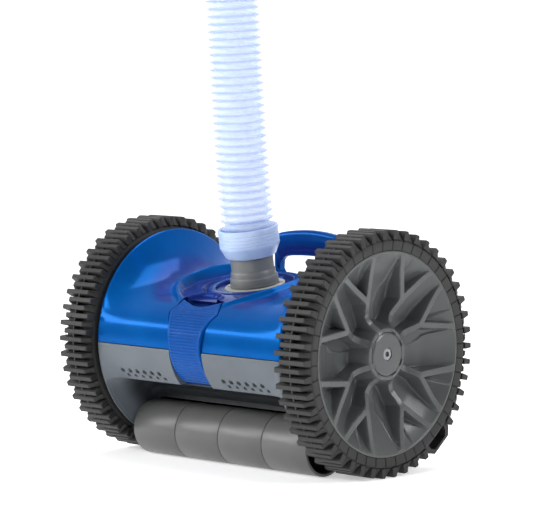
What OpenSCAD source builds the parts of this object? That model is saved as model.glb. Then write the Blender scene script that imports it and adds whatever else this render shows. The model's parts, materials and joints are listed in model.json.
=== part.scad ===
// Two-wheeled suction pool cleaner with a turbine drive.
// Frame: X along the wheel axle; nodes named right are on the +X side; -Y is the front, where the roller
// and the latch are; +Z is up. The origin is on the floor under the middle of the axle.

/* [Wheels] */
// Radius over the tread bars
wheel_r = 107; // [104:0.5:107]
// Distance of the tyre's outer side from the middle
tyre_out = 152.8; // [150:0.1:155]
// Width of the tyre
tyre_w = 35.4; // [32:0.1:36]
// Radius of the wheel drum, where the tyre sits
rim_r = 89; // [86:0.5:90]
// Tread bars around one tyre
bars = 92; // [72:2:96]
// Height of the tread bars
bar_h = 7.6; // [5:0.1:8]

/* [Body] */
// Radius of the round sides of the body
side_r = 96; // [94:0.5:97]
// Distance of the body's sides from the middle
side_x = 113.8; // [112:0.1:114]
// Wall thickness of the mouldings
wall = 2.5; // [2:0.1:3]
// Height of the parting line between cover and chassis
part_z = 105.5; // [104:0.1:106]
// Radius of the cover's waist above the turbine
waist_r = 56; // [50:0.5:57]

/* [Roller] */
// Radius of the front roller
roller_r = 25.2; // [22:0.1:25.6]
// Distance of the roller's axle in front of the wheel axle
roller_y = -32.4; // [-36:0.1:-32]
// Length of one roller segment
roller_len = 53.6; // [50:0.1:53.8]

/* [Swivel and hose] */
// Forward lean of the swivel
lean = 10; // [8:0.5:12]
// Radius of the hose spigot
spigot_r = 19.15; // [18:0.05:19.2]
// Bore radius of the hose cuffs
cuff_bore_r = 19.2; // [19.2:0.05:19.5]
// Outer radius of the corrugated hose
hose_r = 24.25; // [22:0.05:24.3]

/* [Gears] */
// Gear module
gear_m = 0.8; // [0.8:0.1:0.8]
// Teeth of the drive gear on the wheel
drive_teeth = 60; // [60:1:60]
// Teeth of the large reduction gear
large_teeth = 36; // [36:1:36]
// Teeth of each pinion
pinion_teeth = 12; // [12:1:12]

/* [Hidden] */
axle_z = wheel_r;
tyre_in = tyre_out - tyre_w;
carcass_r = wheel_r - bar_h;
axle_r = 5;
shaft_r = 2.5;
fit = 0.05;
disc_w = 2.8;
half_len = side_x - disc_w;

// Turbine axis, as distances from the wheel axle
turb = [14, -23];
turb_y = turb[0];
turb_z = axle_z + turb[1];
house_in = 36.5;
house_out = 39;
house_x = 33;

// Centre of the reduction gear: the crossing of two circles about the wheel axle and the turbine axis
mesh_wheel = gear_m * (drive_teeth + pinion_teeth) / 2;
mesh_turb = gear_m * (large_teeth + pinion_teeth) / 2;
turb_d = norm(turb);
along = (mesh_wheel * mesh_wheel - mesh_turb * mesh_turb + turb_d * turb_d) / (2 * turb_d);
across = sqrt(mesh_wheel * mesh_wheel - along * along);
red = along * turb / turb_d + across * [-turb[1], turb[0]] / turb_d;
red_y = red[0];
red_z = axle_z + red[1];
wheel_to_red = atan2(red[1], red[0]);
red_to_turb = atan2(turb[1] - red[1], turb[0] - red[0]);

case_in = 45;
case_out = 47.2;
case_screw_at = (case_in + case_out) / 2;
case_x0 = 76;
case_x1 = 108;
case_lid = 110;

// Front of the shell and of the latch: arcs in the Y-Z plane
shell_c = [-44.4, 110];
shell_arc = 52.8;
latch_c = [-54.7, 112.8];
latch_arc = 43.5;
latch_t = 3;
latch_pin_r = 1.5;
latch_hinge = latch_c + (latch_arc - 6.5) * [cos(241.3), sin(241.3)];

// Rear hinge of the cover
hinge_y = 100.5;
hinge_z = part_z;
knuckle_r = 4;
hinge_pin_r = 1.8;

// Frame of the swivel: the middle of its retaining ring's top face
swivel_y = -10.2;
swivel_z = 159;
swivel_end = 33;

// Route of the hose, in the Y-Z plane, from the lower cuff to the upper cuff
ROUTE = [
    [-15.9, 191.5], [-19, 210], [-22, 230], [-24.5, 250], [-26.5, 270], [-28.4, 290], [-30.2, 310], [-31.9, 330],
    [-33.5, 350], [-35, 370], [-36.5, 390], [-38, 410], [-39.3, 430], [-40.6, 450], [-41.8, 470], [-43, 490]
];
hose_sides = 12;
hose_end = ROUTE[len(ROUTE) - 1];
hose_end_lean = atan2(hose_end[0] - ROUTE[len(ROUTE) - 2][0], hose_end[1] - ROUTE[len(ROUTE) - 2][1]);

$fn = 96;

// Points of an arc about c, from angle a0 to a1 in n steps
function arc(c, r, a0, a1, n) = [for (i = [0:n]) c + r * [cos(a0 + (a1 - a0) * i / n), sin(a0 + (a1 - a0) * i / n)]];
function reversed(p) = [for (i = [len(p) - 1:-1:0]) p[i]];

// Outline of a spur gear: straight-sided teeth, slim enough to run with backlash
function gear_outline(teeth, turn) =
    let (r = gear_m * teeth / 2,
         root = r - 1.2 * gear_m,
         tip = r + 0.9 * gear_m,
         foot = 0.30 * 180 / teeth * 2,
         crest = 0.12 * 180 / teeth * 2)
    [for (i = [0:teeth - 1])
        for (p = [[root, -foot], [tip, -crest], [tip, crest], [root, foot]])
            p[0] * [cos(turn + i * 360 / teeth + p[1]), sin(turn + i * 360 / teeth + p[1])]];

// Extrudes a Y-Z outline along X, from x0 to x1
module along_x(x0, x1) {
    translate([x0, 0, 0])
        rotate([90, 0, 90])
            linear_extrude(x1 - x0)
                children();
}

// Extrudes an X-Z outline along +Y, from y0 to y1
module along_y(y0, y1) {
    translate([0, y1, 0])
        rotate([90, 0, 0])
            linear_extrude(y1 - y0)
                children();
}

// A straight round bar along X about the point (y, z)
module bar_x(x0, x1, r, y = 0, z = axle_z) {
    translate([x0, y, z])
        rotate([0, 90, 0])
            cylinder(h = x1 - x0, r = r);
}

// A revolved profile of [radius, x] points about the X direction through (y, z)
module turned_x(profile, y = 0, z = axle_z) {
    translate([0, y, z])
        rotate([0, 90, 0])
            rotate_extrude()
                polygon(profile);
}

module on_left() {
    mirror([1, 0, 0])
        children();
}

module in_swivel() {
    translate([0, swivel_y, swivel_z])
        rotate([lean, 0, 0])
            children();
}

// ---- chassis ----

// Outline of the lower body, from the front parting edge down, round the roller bay and up the rear
function tub(inset) =
    let (bay = roller_r + 2 + inset)
    concat(
        arc(shell_c, shell_arc - inset, 184.9, 222.5, 8),
        [[-76 + inset * 0.3, 69.5 + inset], [-62 + inset * 0.2, 63 + inset]],
        arc([roller_y, roller_r], bay, 122, 0, 12),
        [[roller_y + bay, 12 + inset], [48 - inset * 0.3, 12 + inset], [68 - inset, 24 + inset * 0.8]],
        arc([0, axle_z], side_r - 0.5 - inset, 330, 359.1, 6));

module tub_wall() {
    along_x(-half_len, half_len)
        difference() {
            polygon(tub(0));
            polygon(concat(tub(wall), [[60, 120], [-60, 120]]));
        }
}

// A round side plate, cut at the parting line
module side_plate(upper) {
    intersection() {
        bar_x(half_len, side_x, side_r);
        translate([100, -100, upper ? part_z : 0])
            cube([20, 200, upper ? 120 : part_z]);
    }
}

// Two rows of six vent holes on one side of the latch
module vents() {
    for (i = [0:5]) {
        translate([-88 + i * 9.4, -100, 81.8])
            rotate([-90, 0, 0])
                cylinder(h = 40, r = 1.5);
        translate([-83.3 + i * 9.4, -100, 77.6])
            rotate([-90, 0, 0])
                cylinder(h = 40, r = 1.1);
    }
}

// Outline of the latch seen from the front, grown by g
function latch_front(g) = concat(
    [[-30 - g, 138], [-27 - g * 0.7, 147 + g]],
    [for (i = [1:7]) [-27 + i * 54 / 8, 147 - 7 * sin(i * 180 / 8) + g]],
    [[27 + g * 0.7, 147 + g], [30 + g, 138], [23 + g, 122], [19 + g, part_z], [20 + g, 72 - g], [-20 - g, 72 - g],
     [-19 - g, part_z], [-23 - g, 122]]);

// Ear that carries one end of the latch pin
module latch_ear(x0, x1) {
    along_x(x0, x1)
        difference() {
            union() {
                translate(latch_hinge)
                    circle(r = 3);
                polygon([latch_hinge + [2.1, -2.1], [-65, 78.4], [-62, 63.5], [-50, 57], [-50, 86],
                         latch_hinge + [0, 3]]);
            }
            translate(latch_hinge)
                circle(r = latch_pin_r);
        }
}

// Knuckles of the cover's hinge, with the arm on the upper or the lower side
module hinge_knuckles(x0, x1, hole_r, upper) {
    for (s = [-1, 1])
        scale([s, 1, 1])
            difference() {
                union() {
                    bar_x(x0, x1, knuckle_r, hinge_y, hinge_z);
                    translate([x0, side_r - wall, upper ? hinge_z + 0.5 : hinge_z - 4])
                        cube([x1 - x0, hinge_y - side_r + wall, 3.5]);
                }
                bar_x(x0 - 1, x1 + 1, hole_r, hinge_y, hinge_z);
            }
}

module lower_chassis() {
    color("#7d848c")
        difference() {
            union() {
                difference() {
                    union() {
                        tub_wall();
                        side_plate(false);
                        on_left()
                            side_plate(false);
                    }
                    along_y(-110, -60)
                        polygon(latch_front(0.5));
                    bar_x(-21, 21, 7.2, latch_hinge[0], latch_hinge[1]);
                    translate([-21.5, -95, 60])
                        cube([43, 21, 30]);
                    vents();
                    translate([127.5, 0, 0])
                        vents();
                }
                latch_ear(8.4, 11.4);
                latch_ear(-11.4, -8.4);
                intersection() {
                    hinge_knuckles(30, 40, hinge_pin_r, false);
                    translate([-60, 80, 90])
                        cube([120, 30, 30]);
                }
            }
            bar_x(-side_x - 1, side_x + 1, 14);
            bar_x(-side_x - 1, side_x + 1, 4, roller_y, roller_r);
            translate([-33, 3, 0])
                cube([66, 44, 20]);
        }
}

module suction_shoe() {
    color("#5c6166")
        difference() {
            translate([-100, -4, 8])
                cube([200, 62, 4]);
            translate([-30.5, 5.5, 0])
                cube([61, 39, 20]);
            for (x = [-90, 90], y = [4, 50])
                translate([x, y, 0])
                    cylinder(h = 20, r = 1.6);
        }
}

module shoe_screws() {
    color("silver")
        for (x = [-90, 90], y = [4, 50])
            translate([x, y, 0]) {
                translate([0, 0, 6.2])
                    cylinder(h = 1.8, r = 3.2);
                translate([0, 0, 7])
                    cylinder(h = 5, r = 1.6);
            }
}

module rear_skirt() {
    color("#2b2b2b")
        along_x(-98, 98)
            polygon([[58, 12], [58, 8], [67, 0.4], [69, 1.4], [62, 9], [61.8, 12]]);
}

module turbine_housing() {
    color("#5c6166")
        difference() {
            union() {
                bar_x(-house_x, house_x, house_out, turb_y, turb_z);
                translate([-house_x, 3, 12])
                    cube([2 * house_x, 44, 56]);
                in_swivel()
                    translate([0, 0, -74])
                        cylinder(h = 50, r = 24);
            }
            bar_x(-30, 30, house_in, turb_y, turb_z);
            translate([-30, 6, 0])
                cube([60, 38, 66]);
            in_swivel()
                translate([0, 0, -80])
                    cylinder(h = 60, r = 20);
            bar_x(-house_x - 1, house_x + 1, 7, turb_y, turb_z);
        }
}

module outlet_gasket() {
    color("#222222")
        in_swivel()
            translate([0, 0, -24])
                difference() {
                    cylinder(h = 1.7, r = 24);
                    translate([0, 0, -1])
                        cylinder(h = 4, r = 20);
                }
}

module gearcase_right() {
    color("#4a4f55")
        difference() {
            union() {
                turned_x([[0, case_x0], [case_out, case_x0], [case_out, case_x1], [case_in, case_x1],
                          [case_in, case_x0 + 3], [9, case_x0 + 3], [9, 95], [0, 95]]);
                bar_x(case_x0 + 1, 83, 6, red_y, red_z);
                bar_x(case_x0 + 1, 83, 7, turb_y, turb_z);
            }
            bar_x(82, 96, axle_r);
            bar_x(case_x0 + 1, 84, shaft_r, red_y, red_z);
            bar_x(case_x0 - 1, 84, shaft_r + 0.5, turb_y, turb_z);
            for (a = [60:120:300])
                bar_x(100, case_x1 + 1, 0.8, case_screw_at * cos(a), axle_z + case_screw_at * sin(a));
        }
}

module gearcase_lid_right() {
    color("#4a4f55")
        difference() {
            bar_x(case_x1, case_lid, case_out);
            bar_x(case_x1 - 1, case_lid + 1, 12.6);
            bar_x(case_x1 - 1, case_lid - 0.6, shaft_r, red_y, red_z);
            for (a = [60:120:300])
                bar_x(case_x1 - 1, case_lid + 1, 0.8, case_screw_at * cos(a), axle_z + case_screw_at * sin(a));
        }
}

module gearcase_screws() {
    color("silver")
        for (s = [-1, 1])
            scale([s, 1, 1])
                for (a = [60:120:300]) {
                    bar_x(100, case_lid, 0.8, case_screw_at * cos(a), axle_z + case_screw_at * sin(a));
                    bar_x(case_lid, case_lid + 0.8, 1.6, case_screw_at * cos(a), axle_z + case_screw_at * sin(a));
                }
}

module axle_right() {
    color("silver")
        difference() {
            bar_x(82, 140, axle_r);
            bar_x(128, 141, 2.5);
        }
}

module axle_washers() {
    color("silver")
        for (s = [-1, 1])
            scale([s, 1, 1])
                difference() {
                    bar_x(140, 141.5, 9);
                    bar_x(139, 142, 2.5);
                }
}

module hub_screws() {
    color("silver")
        for (s = [-1, 1])
            scale([s, 1, 1])
                difference() {
                    union() {
                        bar_x(128.5, 141.5, 2.5);
                        bar_x(141.5, 145, 4);
                        bar_x(145, 149.4, 5);
                    }
                    translate([147, 0, axle_z])
                        rotate([0, 90, 0])
                            cylinder(h = 4, r = 2.6, $fn = 6);
                }
}

module gear_pins() {
    color("silver")
        for (s = [-1, 1])
            scale([s, 1, 1])
                bar_x(case_x0 + 1, case_lid - 0.6, shaft_r, red_y, red_z);
}

module turbine_bearings() {
    color("#c8ccd0")
        for (s = [-1, 1])
            scale([s, 1, 1])
                difference() {
                    union() {
                        bar_x(30.5, house_x, 7, turb_y, turb_z);
                        bar_x(house_x, house_x + 2, 9, turb_y, turb_z);
                    }
                    bar_x(29, house_x + 3, shaft_r + fit, turb_y, turb_z);
                }
}

module roller_axle() {
    color("silver")
        bar_x(-side_x, side_x, 4, roller_y, roller_r);
}

module roller_clips() {
    color("#2b2b2b")
        for (s = [-1, 1])
            scale([s, 1, 1])
                difference() {
                    bar_x(108.9, half_len, 9, roller_y, roller_r);
                    bar_x(108, half_len + 1, 4, roller_y, roller_r);
                }
}

module latch_pin() {
    color("silver")
        bar_x(-12.5, 12.5, latch_pin_r, latch_hinge[0], latch_hinge[1]);
}

module hinge_pin() {
    color("silver")
        bar_x(-42, 42, hinge_pin_r, hinge_y, hinge_z);
}

// ---- cover ----

// Radius of the cover's outer surface at a distance x from the middle
function flare(x) = waist_r + (side_r - waist_r) * pow(max(0, (abs(x) - 50) / (half_len - 50)), 2.2);

// Profile of the flared shell on one side, as [radius, x]
flare_steps = [for (i = [0:8]) 32 + (half_len - 32) * i / 8];
flare_profile = concat(
    [for (x = flare_steps) [flare(x), x]],
    [for (x = reversed(flare_steps)) [flare(x) - wall, x]]);

// Slot in the cover that the latch lies in: straight-sided, so that the cover lifts past the latch
slot_half = 31;
slot_back = 74;

band_top = 24;
band_rear = 30;

// The part of a body between two angles about the wheel axle, measured from the rear
module wedge(a0, a1) {
    intersection() {
        children();
        along_x(-side_x, side_x)
            polygon([[0, axle_z], [0, axle_z] + 190 * [cos(a0), sin(a0)],
                     [0, axle_z] + 190 * [cos((a0 + a1) / 2), sin((a0 + a1) / 2)],
                     [0, axle_z] + 190 * [cos(a1), sin(a1)]]);
    }
}

// Height of the middle pod, and its outline inset by the wall
pod_z = 160;
handle_z = 150;
function pod(inset) = concat(
    arc(latch_c, latch_arc - inset, 189.5, 134, 6),
    [[-66 + inset, pod_z - 1.5 - inset], [-44, pod_z - inset], [46 - inset / 2, pod_z - inset],
     [54 - inset / 2, handle_z - inset], [84 - inset, handle_z - inset]],
    arc([0, axle_z], side_r - inset, 26, -0.9, 6));

module pod_shell() {
    difference() {
        along_x(-38, 38)
            polygon(pod(0));
        along_x(-38 + wall, 38 - wall)
            polygon(concat(pod(wall), [[side_r - wall, 100], [-90, 100]]));
    }
}

// Front and rear bands of the cover, which carry the body's round section right across
module band(a0, a1) {
    wedge(a0, a1)
        difference() {
            bar_x(-half_len, half_len, side_r);
            bar_x(-half_len - 1, half_len + 1, side_r - wall);
        }
}

// Sloping deck from the top of a band in to the waist
module deck(a) {
    for (s = [-1, 1])
        scale([s, 1, 1])
            intersection() {
                translate([36, 0, axle_z])
                    rotate([a, 0, 0])
                        translate([0, waist_r - wall / 2, -wall - 0.4])
                            cube([half_len - 36, side_r - waist_r, wall]);
                bar_x(0, half_len, side_r);
            }
}

module top_cover() {
    color("#1450a0")
        difference() {
            union() {
                side_plate(true);
                on_left()
                    side_plate(true);
                difference() {
                    union() {
                        band(180 - band_top, 180.9);
                        band(-0.9, band_rear);
                        for (s = [-1, 1])
                            scale([s, 1, 1])
                                wedge(band_rear - 3, 180 - band_top + 3)
                                    turned_x(flare_profile);
                    }
                    along_x(-38 + wall, 38 - wall)
                        polygon(concat(pod(wall), [[side_r - wall, 100], [-90, 100]]));
                }
                mirror([0, 1, 0])
                    deck(band_top);
                deck(band_rear);
                pod_shell();
                translate([-37, -slot_back, part_z + 0.3])
                    cube([74, wall, 48]);
                in_swivel()
                    translate([0, 0, -22])
                        cylinder(h = 19, r = 31);
                in_swivel()
                    translate([0, 0, -5])
                        cylinder(h = 9, r = 36);
                hinge_knuckles(19.5, 29.5, hinge_pin_r + fit, true);
            }
            translate([-150, -150, part_z - 60])
                cube([300, 246.2, 60.3]);
            in_swivel() {
                cylinder(h = 60, r = 34);
                translate([0, 0, -4])
                    cylinder(h = 10, r = 27.2);
                translate([0, 0, -9])
                    cylinder(h = 10, r = 25.6);
                translate([0, 0, -21])
                    cylinder(h = 16, r = 25.5);
                translate([0, 0, -30])
                    cylinder(h = 20, r = 22.5);
            }
            translate([-slot_half, -120, 100])
                cube([2 * slot_half, 120 - slot_back, 49]);
            for (s = [-1, 1])
                scale([s, 1, 1]) {
                    bar_x(half_len - 1, side_x + 1, 14);
                    translate([half_len - 1, -14, axle_z - 20])
                        cube([6, 28, 20]);
                    translate([33, 62, 140])
                        cylinder(h = 30, r = 1.5);
                }
        }
}

module carry_handle() {
    color("#1c4a96")
        difference() {
            hull() {
                for (s = [-1, 1])
                    translate([s * 27, 56, 191])
                        rotate([-90, 0, 0])
                            cylinder(h = 12, r = 12, $fn = 32);
                translate([-39, 56, handle_z])
                    cube([78, 12, 2]);
            }
            hull() {
                for (s = [-1, 1])
                    translate([s * 22, 50, 166])
                        rotate([-90, 0, 0])
                            cylinder(h = 30, r = 8, $fn = 32);
                translate([-30, 50, handle_z + 2.5])
                    cube([60, 30, 2]);
            }
            for (s = [-1, 1])
                translate([s * 33, 62, handle_z - 2])
                    cylinder(h = 12, r = 1.5);
        }
}

module handle_screws() {
    color("silver")
        for (s = [-1, 1])
            translate([s * 33, 62, handle_z - wall]) {
                translate([0, 0, -1.8])
                    cylinder(h = 1.8, r = 2.2);
                translate([0, 0, -0.5])
                    cylinder(h = 12, r = 1.5);
            }
}

module swivel_ring() {
    color("#a5a5a0")
        in_swivel()
            difference() {
                translate([0, 0, -4])
                    cylinder(h = 4, r = 27);
                translate([0, 0, -5])
                    cylinder(h = 6, r = 21.8);
                for (a = [35, 215])
                    rotate([0, 0, a])
                        translate([21, -1.5, -1.6])
                            cube([3.4, 3, 3]);
            }
}

module swivel_bush() {
    color("#d8dade")
        in_swivel()
            difference() {
                translate([0, 0, -20.9])
                    cylinder(h = 11.6, r = 25.4);
                translate([0, 0, -22])
                    cylinder(h = 14, r = 21 + fit);
            }
}

module swivel_seal() {
    color("#222222")
        in_swivel()
            difference() {
                translate([0, 0, -22])
                    cylinder(h = 1, r = 22.4);
                translate([0, 0, -23])
                    cylinder(h = 3, r = 20);
            }
}

// ---- latch ----

module latch() {
    color("#1450a0")
        difference() {
            union() {
                intersection() {
                    along_x(-40, 40)
                        polygon(concat(arc(latch_c, latch_arc, 131, 241.3, 14),
                                       arc(latch_c, latch_arc - latch_t, 241.3, 131, 14)));
                    along_y(-110, -60)
                        polygon(latch_front(0));
                }
                along_x(-8, 8)
                    union() {
                        translate(latch_hinge)
                            circle(r = 3.2);
                        polygon([latch_hinge + [0, -3.1], latch_hinge + [-4.5, -3], latch_hinge + [-9, 2],
                                 latch_hinge + [-8, 6], latch_hinge + [0, 3.1]]);
                    }
            }
            bar_x(-9, 9, latch_pin_r + fit, latch_hinge[0], latch_hinge[1]);
        }
}

// ---- swivel and hose ----

module swivel_tube() {
    color("#737573")
        in_swivel()
            rotate_extrude()
                polygon([[16.5, -20.9], [21, -20.9], [21, -9.2], [25, -9.2], [25, -4.3], [21.5, -4.3], [21.5, 8],
                         [20.2, 9], [20.2, 13], [19.6, 13.5], [spigot_r, 15], [spigot_r, swivel_end],
                         [16.5, swivel_end]]);
}

// A hose cuff: a spigot bore at its foot and a wider socket for the hose, from s0 up
module cuff(foot, socket) {
    rotate_extrude()
        polygon([[cuff_bore_r, 0], [21.6, 0], [22.6, 0.8], [26.8, foot + 3], [27, foot + socket],
                 [24.4, foot + socket], [24.4, foot], [cuff_bore_r, foot]]);
}

module lower_cuff() {
    color("#cdd9f0", 0.8)
        in_swivel()
            translate([0, 0, 26.4])
                cuff(6.6, 19.6);
}

module upper_cuff() {
    color("#cdd9f0", 0.8)
        translate([0, hose_end[0], hose_end[1]])
            rotate([-hose_end_lean, 0, 0])
                translate([0, 0, 26])
                    mirror([0, 0, 1])
                        cuff(26, 18);
}

// Direction of the hose's route at point i
function heading(i) = let (d = ROUTE[min(i + 1, len(ROUTE) - 1)] - ROUTE[max(i - 1, 0)]) d / norm(d);

hose_rings = [
    for (i = [0:len(ROUTE) - 1])
        let (h = i == 0 ? [-sin(lean), cos(lean)] : heading(i))
        for (k = [0:hose_sides - 1])
            let (a = 360 * k / hose_sides)
            [hose_r * cos(a),
             ROUTE[i][0] + hose_r * sin(a) * h[1],
             ROUTE[i][1] - hose_r * sin(a) * h[0]]];

module hose() {
    last = (len(ROUTE) - 1) * hose_sides;
    color("#dfe8f6", 0.7)
        polyhedron(
            points = hose_rings,
            faces = concat(
                [[for (k = [0:hose_sides - 1]) k]],
                [[for (k = [hose_sides - 1:-1:0]) last + k]],
                [for (i = [0:len(ROUTE) - 2])
                    for (k = [0:hose_sides - 1])
                        let (n = (k + 1) % hose_sides, b = i * hose_sides, t = b + hose_sides)
                        [b + k, t + k, t + n, b + n]]));
}

// ---- wheels ----

// One straight rib of a wheel, from polar point p to polar point q, as [radius, angle]
module rib(p, q, w, x0, x1) {
    a = p[0] * [cos(p[1]), sin(p[1])];
    b = q[0] * [cos(q[1]), sin(q[1])];
    turn = atan2(b[1] - a[1], b[0] - a[0]);
    translate([x0, a[0], axle_z + a[1]])
        rotate([turn, 0, 0])
            translate([0, 0, -w / 2])
                cube([x1 - x0, norm(b - a), w]);
}

module wheel_right() {
    color("#6c6c6a")
        union() {
            turned_x([[12, 121], [23.6, 121], [23.6, 124], [40, 125], [60, 130], [76, 140], [82, 146], [84, 119],
                      [rim_r, 119], [rim_r, 151.4], [86, 151.4], [78, 147], [70, 141], [58, 134], [40, 129],
                      [23.6, 129], [23.6, 149], [19.2, 149], [19.2, 145], [11.5, 145], [11.5, 140], [11, 140],
                      [11, 124], [12, 124]]);
            for (d = [45:90:315], s = [-1, 1]) {
                rib([22.5, d + s * 19.5], [42, d + s * 19.5], 6.3, 125.5, 140);
                rib([37, d + s * 19.5], [53, d + s * 19.5], 6.3, 127.5, 147);
                rib([51, d + s * 18.5], [86, d + s * 6], 6.3, 132, 149.5);
                rib([51, d + s * 20.5], [86, d + s * 33], 6.3, 132, 149.5);
            }
        }
}

// Ring of tread bars: every other bar, starting at bar k
module tread(k, x0, x1) {
    foot = 1.35;
    crest = 1.12;
    along_x(x0, x1)
        difference() {
            polygon([for (i = [0:bars / 2 - 1])
                for (p = [[carcass_r - 1, -foot], [wheel_r, -crest], [wheel_r, crest], [carcass_r - 1, foot]])
                    [0, axle_z] + p[0] * [cos((2 * i + k) * 360 / bars + p[1]),
                                          sin((2 * i + k) * 360 / bars + p[1])]]);
            translate([0, axle_z])
                circle(r = carcass_r - 4);
        }
}

// The hollow loop moulded on the tread, about the angle a
module hump(a) {
    translate([0, 0, axle_z])
        rotate([a, 0, 0])
            along_x(tyre_in + 6, tyre_out - 4)
                difference() {
                    polygon([[carcass_r - 1, -18], [112, -10], [112, 10], [carcass_r - 1, 18]]);
                    polygon([[carcass_r + 2, -11.5], [108.8, -7.5], [108.8, 7.5], [carcass_r + 2, 11.5]]);
                }
}

module tyre_right() {
    color("#454442")
        union() {
            turned_x([[rim_r, tyre_in + 1], [96, tyre_in + 1], [carcass_r, tyre_in + 4], [carcass_r, tyre_out - 3],
                      [97, tyre_out - 0.6], [rim_r + 0.5, tyre_out - 1.4], [rim_r, tyre_out - 1.4]]);
            tread(0, tyre_in + 6, tyre_out);
            tread(1, tyre_in, tyre_out - 6);
            hump(-50);
        }
}

module hub_cap_right() {
    color("#7a7a78")
        difference() {
            turned_x([[0, 145], [18.6, 145], [18.6, 149.2], [17, 150], [0, 150]]);
            bar_x(144, 151, 5.4);
        }
}

module wheel_bush_right() {
    color("#d8dade")
        difference() {
            bar_x(124, 140, 11);
            bar_x(123, 141, axle_r + fit);
        }
}

module drive_gear_right() {
    color("#c9c3b4")
        difference() {
            union() {
                translate([0, 0, axle_z])
                    along_x(97, 104)
                        polygon(gear_outline(drive_teeth, wheel_to_red));
                bar_x(104, 124, 12);
            }
            bar_x(96, 125, axle_r + 0.3);
        }
}

// ---- drive ----

module turbine_rotor() {
    color("#d8d2c0")
        difference() {
            union() {
                bar_x(-29, 29, 9, turb_y, turb_z);
                for (a = [0:60:300])
                    translate([-28, turb_y, turb_z])
                        rotate([a, 0, 0])
                            rotate([90, 0, 90])
                                linear_extrude(56)
                                    polygon(concat(arc([20, -24], 27, 118, 62, 6), arc([20, -24], 25, 60, 120, 6)));
            }
            bar_x(-30, 30, shaft_r, turb_y, turb_z);
        }
}

module turbine_shaft() {
    color("silver")
        bar_x(-93.5, 93.5, shaft_r, turb_y, turb_z);
}

// A pinion on the turbine shaft
module shaft_pinion(bore_r) {
    difference() {
        translate([0, turb_y, turb_z])
            along_x(84, 92)
                polygon(gear_outline(pinion_teeth, red_to_turb + 180 + 180 / pinion_teeth));
        bar_x(83, 93, bore_r, turb_y, turb_z);
    }
}

module turbine_pinion() {
    color("#c9c3b4")
        shaft_pinion(shaft_r);
}

module clutch_pinion() {
    color("#c9c3b4")
        on_left()
            shaft_pinion(shaft_r + fit);
}

module reduction_gear_right() {
    color("#c9c3b4")
        difference() {
            union() {
                translate([0, red_y, red_z]) {
                    along_x(84, 91)
                        polygon(gear_outline(large_teeth, red_to_turb));
                    along_x(96, 105)
                        polygon(gear_outline(pinion_teeth, wheel_to_red + 180 + 180 / pinion_teeth));
                }
                bar_x(91, 96, 3.8, red_y, red_z);
            }
            bar_x(83, 106, shaft_r + fit, red_y, red_z);
        }
}

// ---- roller ----

// One roller segment, starting at x0: a tube on a hub, with a web near its outer end
module roller_segment(x0) {
    color("#787a78")
        translate([x0, 0, 0])
            turned_x([[4 + fit, 0], [7, 0], [7, 5], [22.6, 5], [22.6, 1.2], [23.8, 0], [roller_r - 0.4, 0],
                      [roller_r, 0.4], [roller_r, roller_len - 0.4], [roller_r - 0.4, roller_len],
                      [22.6, roller_len], [22.6, 8], [7, 8], [7, roller_len], [4 + fit, roller_len]],
                     roller_y, roller_r);
}

lower_chassis();
suction_shoe();
rear_skirt();
shoe_screws();
turbine_housing();
outlet_gasket();
gearcase_right();
on_left() gearcase_right();  // gearcase_left
gearcase_lid_right();
on_left() gearcase_lid_right();  // gearcase_lid_left
gearcase_screws();
axle_right();
on_left() axle_right();  // axle_left
axle_washers();
hub_screws();
gear_pins();
turbine_bearings();
roller_axle();
roller_clips();
latch_pin();
hinge_pin();
top_cover();
carry_handle();
handle_screws();
swivel_ring();
swivel_bush();
swivel_seal();
latch();
swivel_tube();
lower_cuff();
hose();
upper_cuff();
wheel_right();
tyre_right();
hub_cap_right();
wheel_bush_right();
drive_gear_right();
on_left() wheel_right();  // wheel_left
on_left() tyre_right();  // tyre_left
on_left() hub_cap_right();  // hub_cap_left
on_left() wheel_bush_right();  // wheel_bush_left
on_left() drive_gear_right();  // drive_gear_left
turbine_rotor();
turbine_shaft();
turbine_pinion();
reduction_gear_right();
clutch_pinion();
on_left() reduction_gear_right();  // reduction_gear_left
roller_segment(-107.8);  // roller_1
roller_segment(-53.8);  // roller_2
roller_segment(0.2);  // roller_3
roller_segment(54.2);  // roller_4
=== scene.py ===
"""Visual model of a two-wheeled suction pool cleaner, built round its packed CAD frame.

Every length in a class below is in millimetres, in the frame of the packed model: X along the wheel
axle, -Y to the front, +Z up. Each sub-assembly is a class that holds its sizes and builds its pieces.
"""

import json
import logging
import math
from dataclasses import dataclass
from enum import Enum
from typing import Callable, Optional, Sequence

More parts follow.
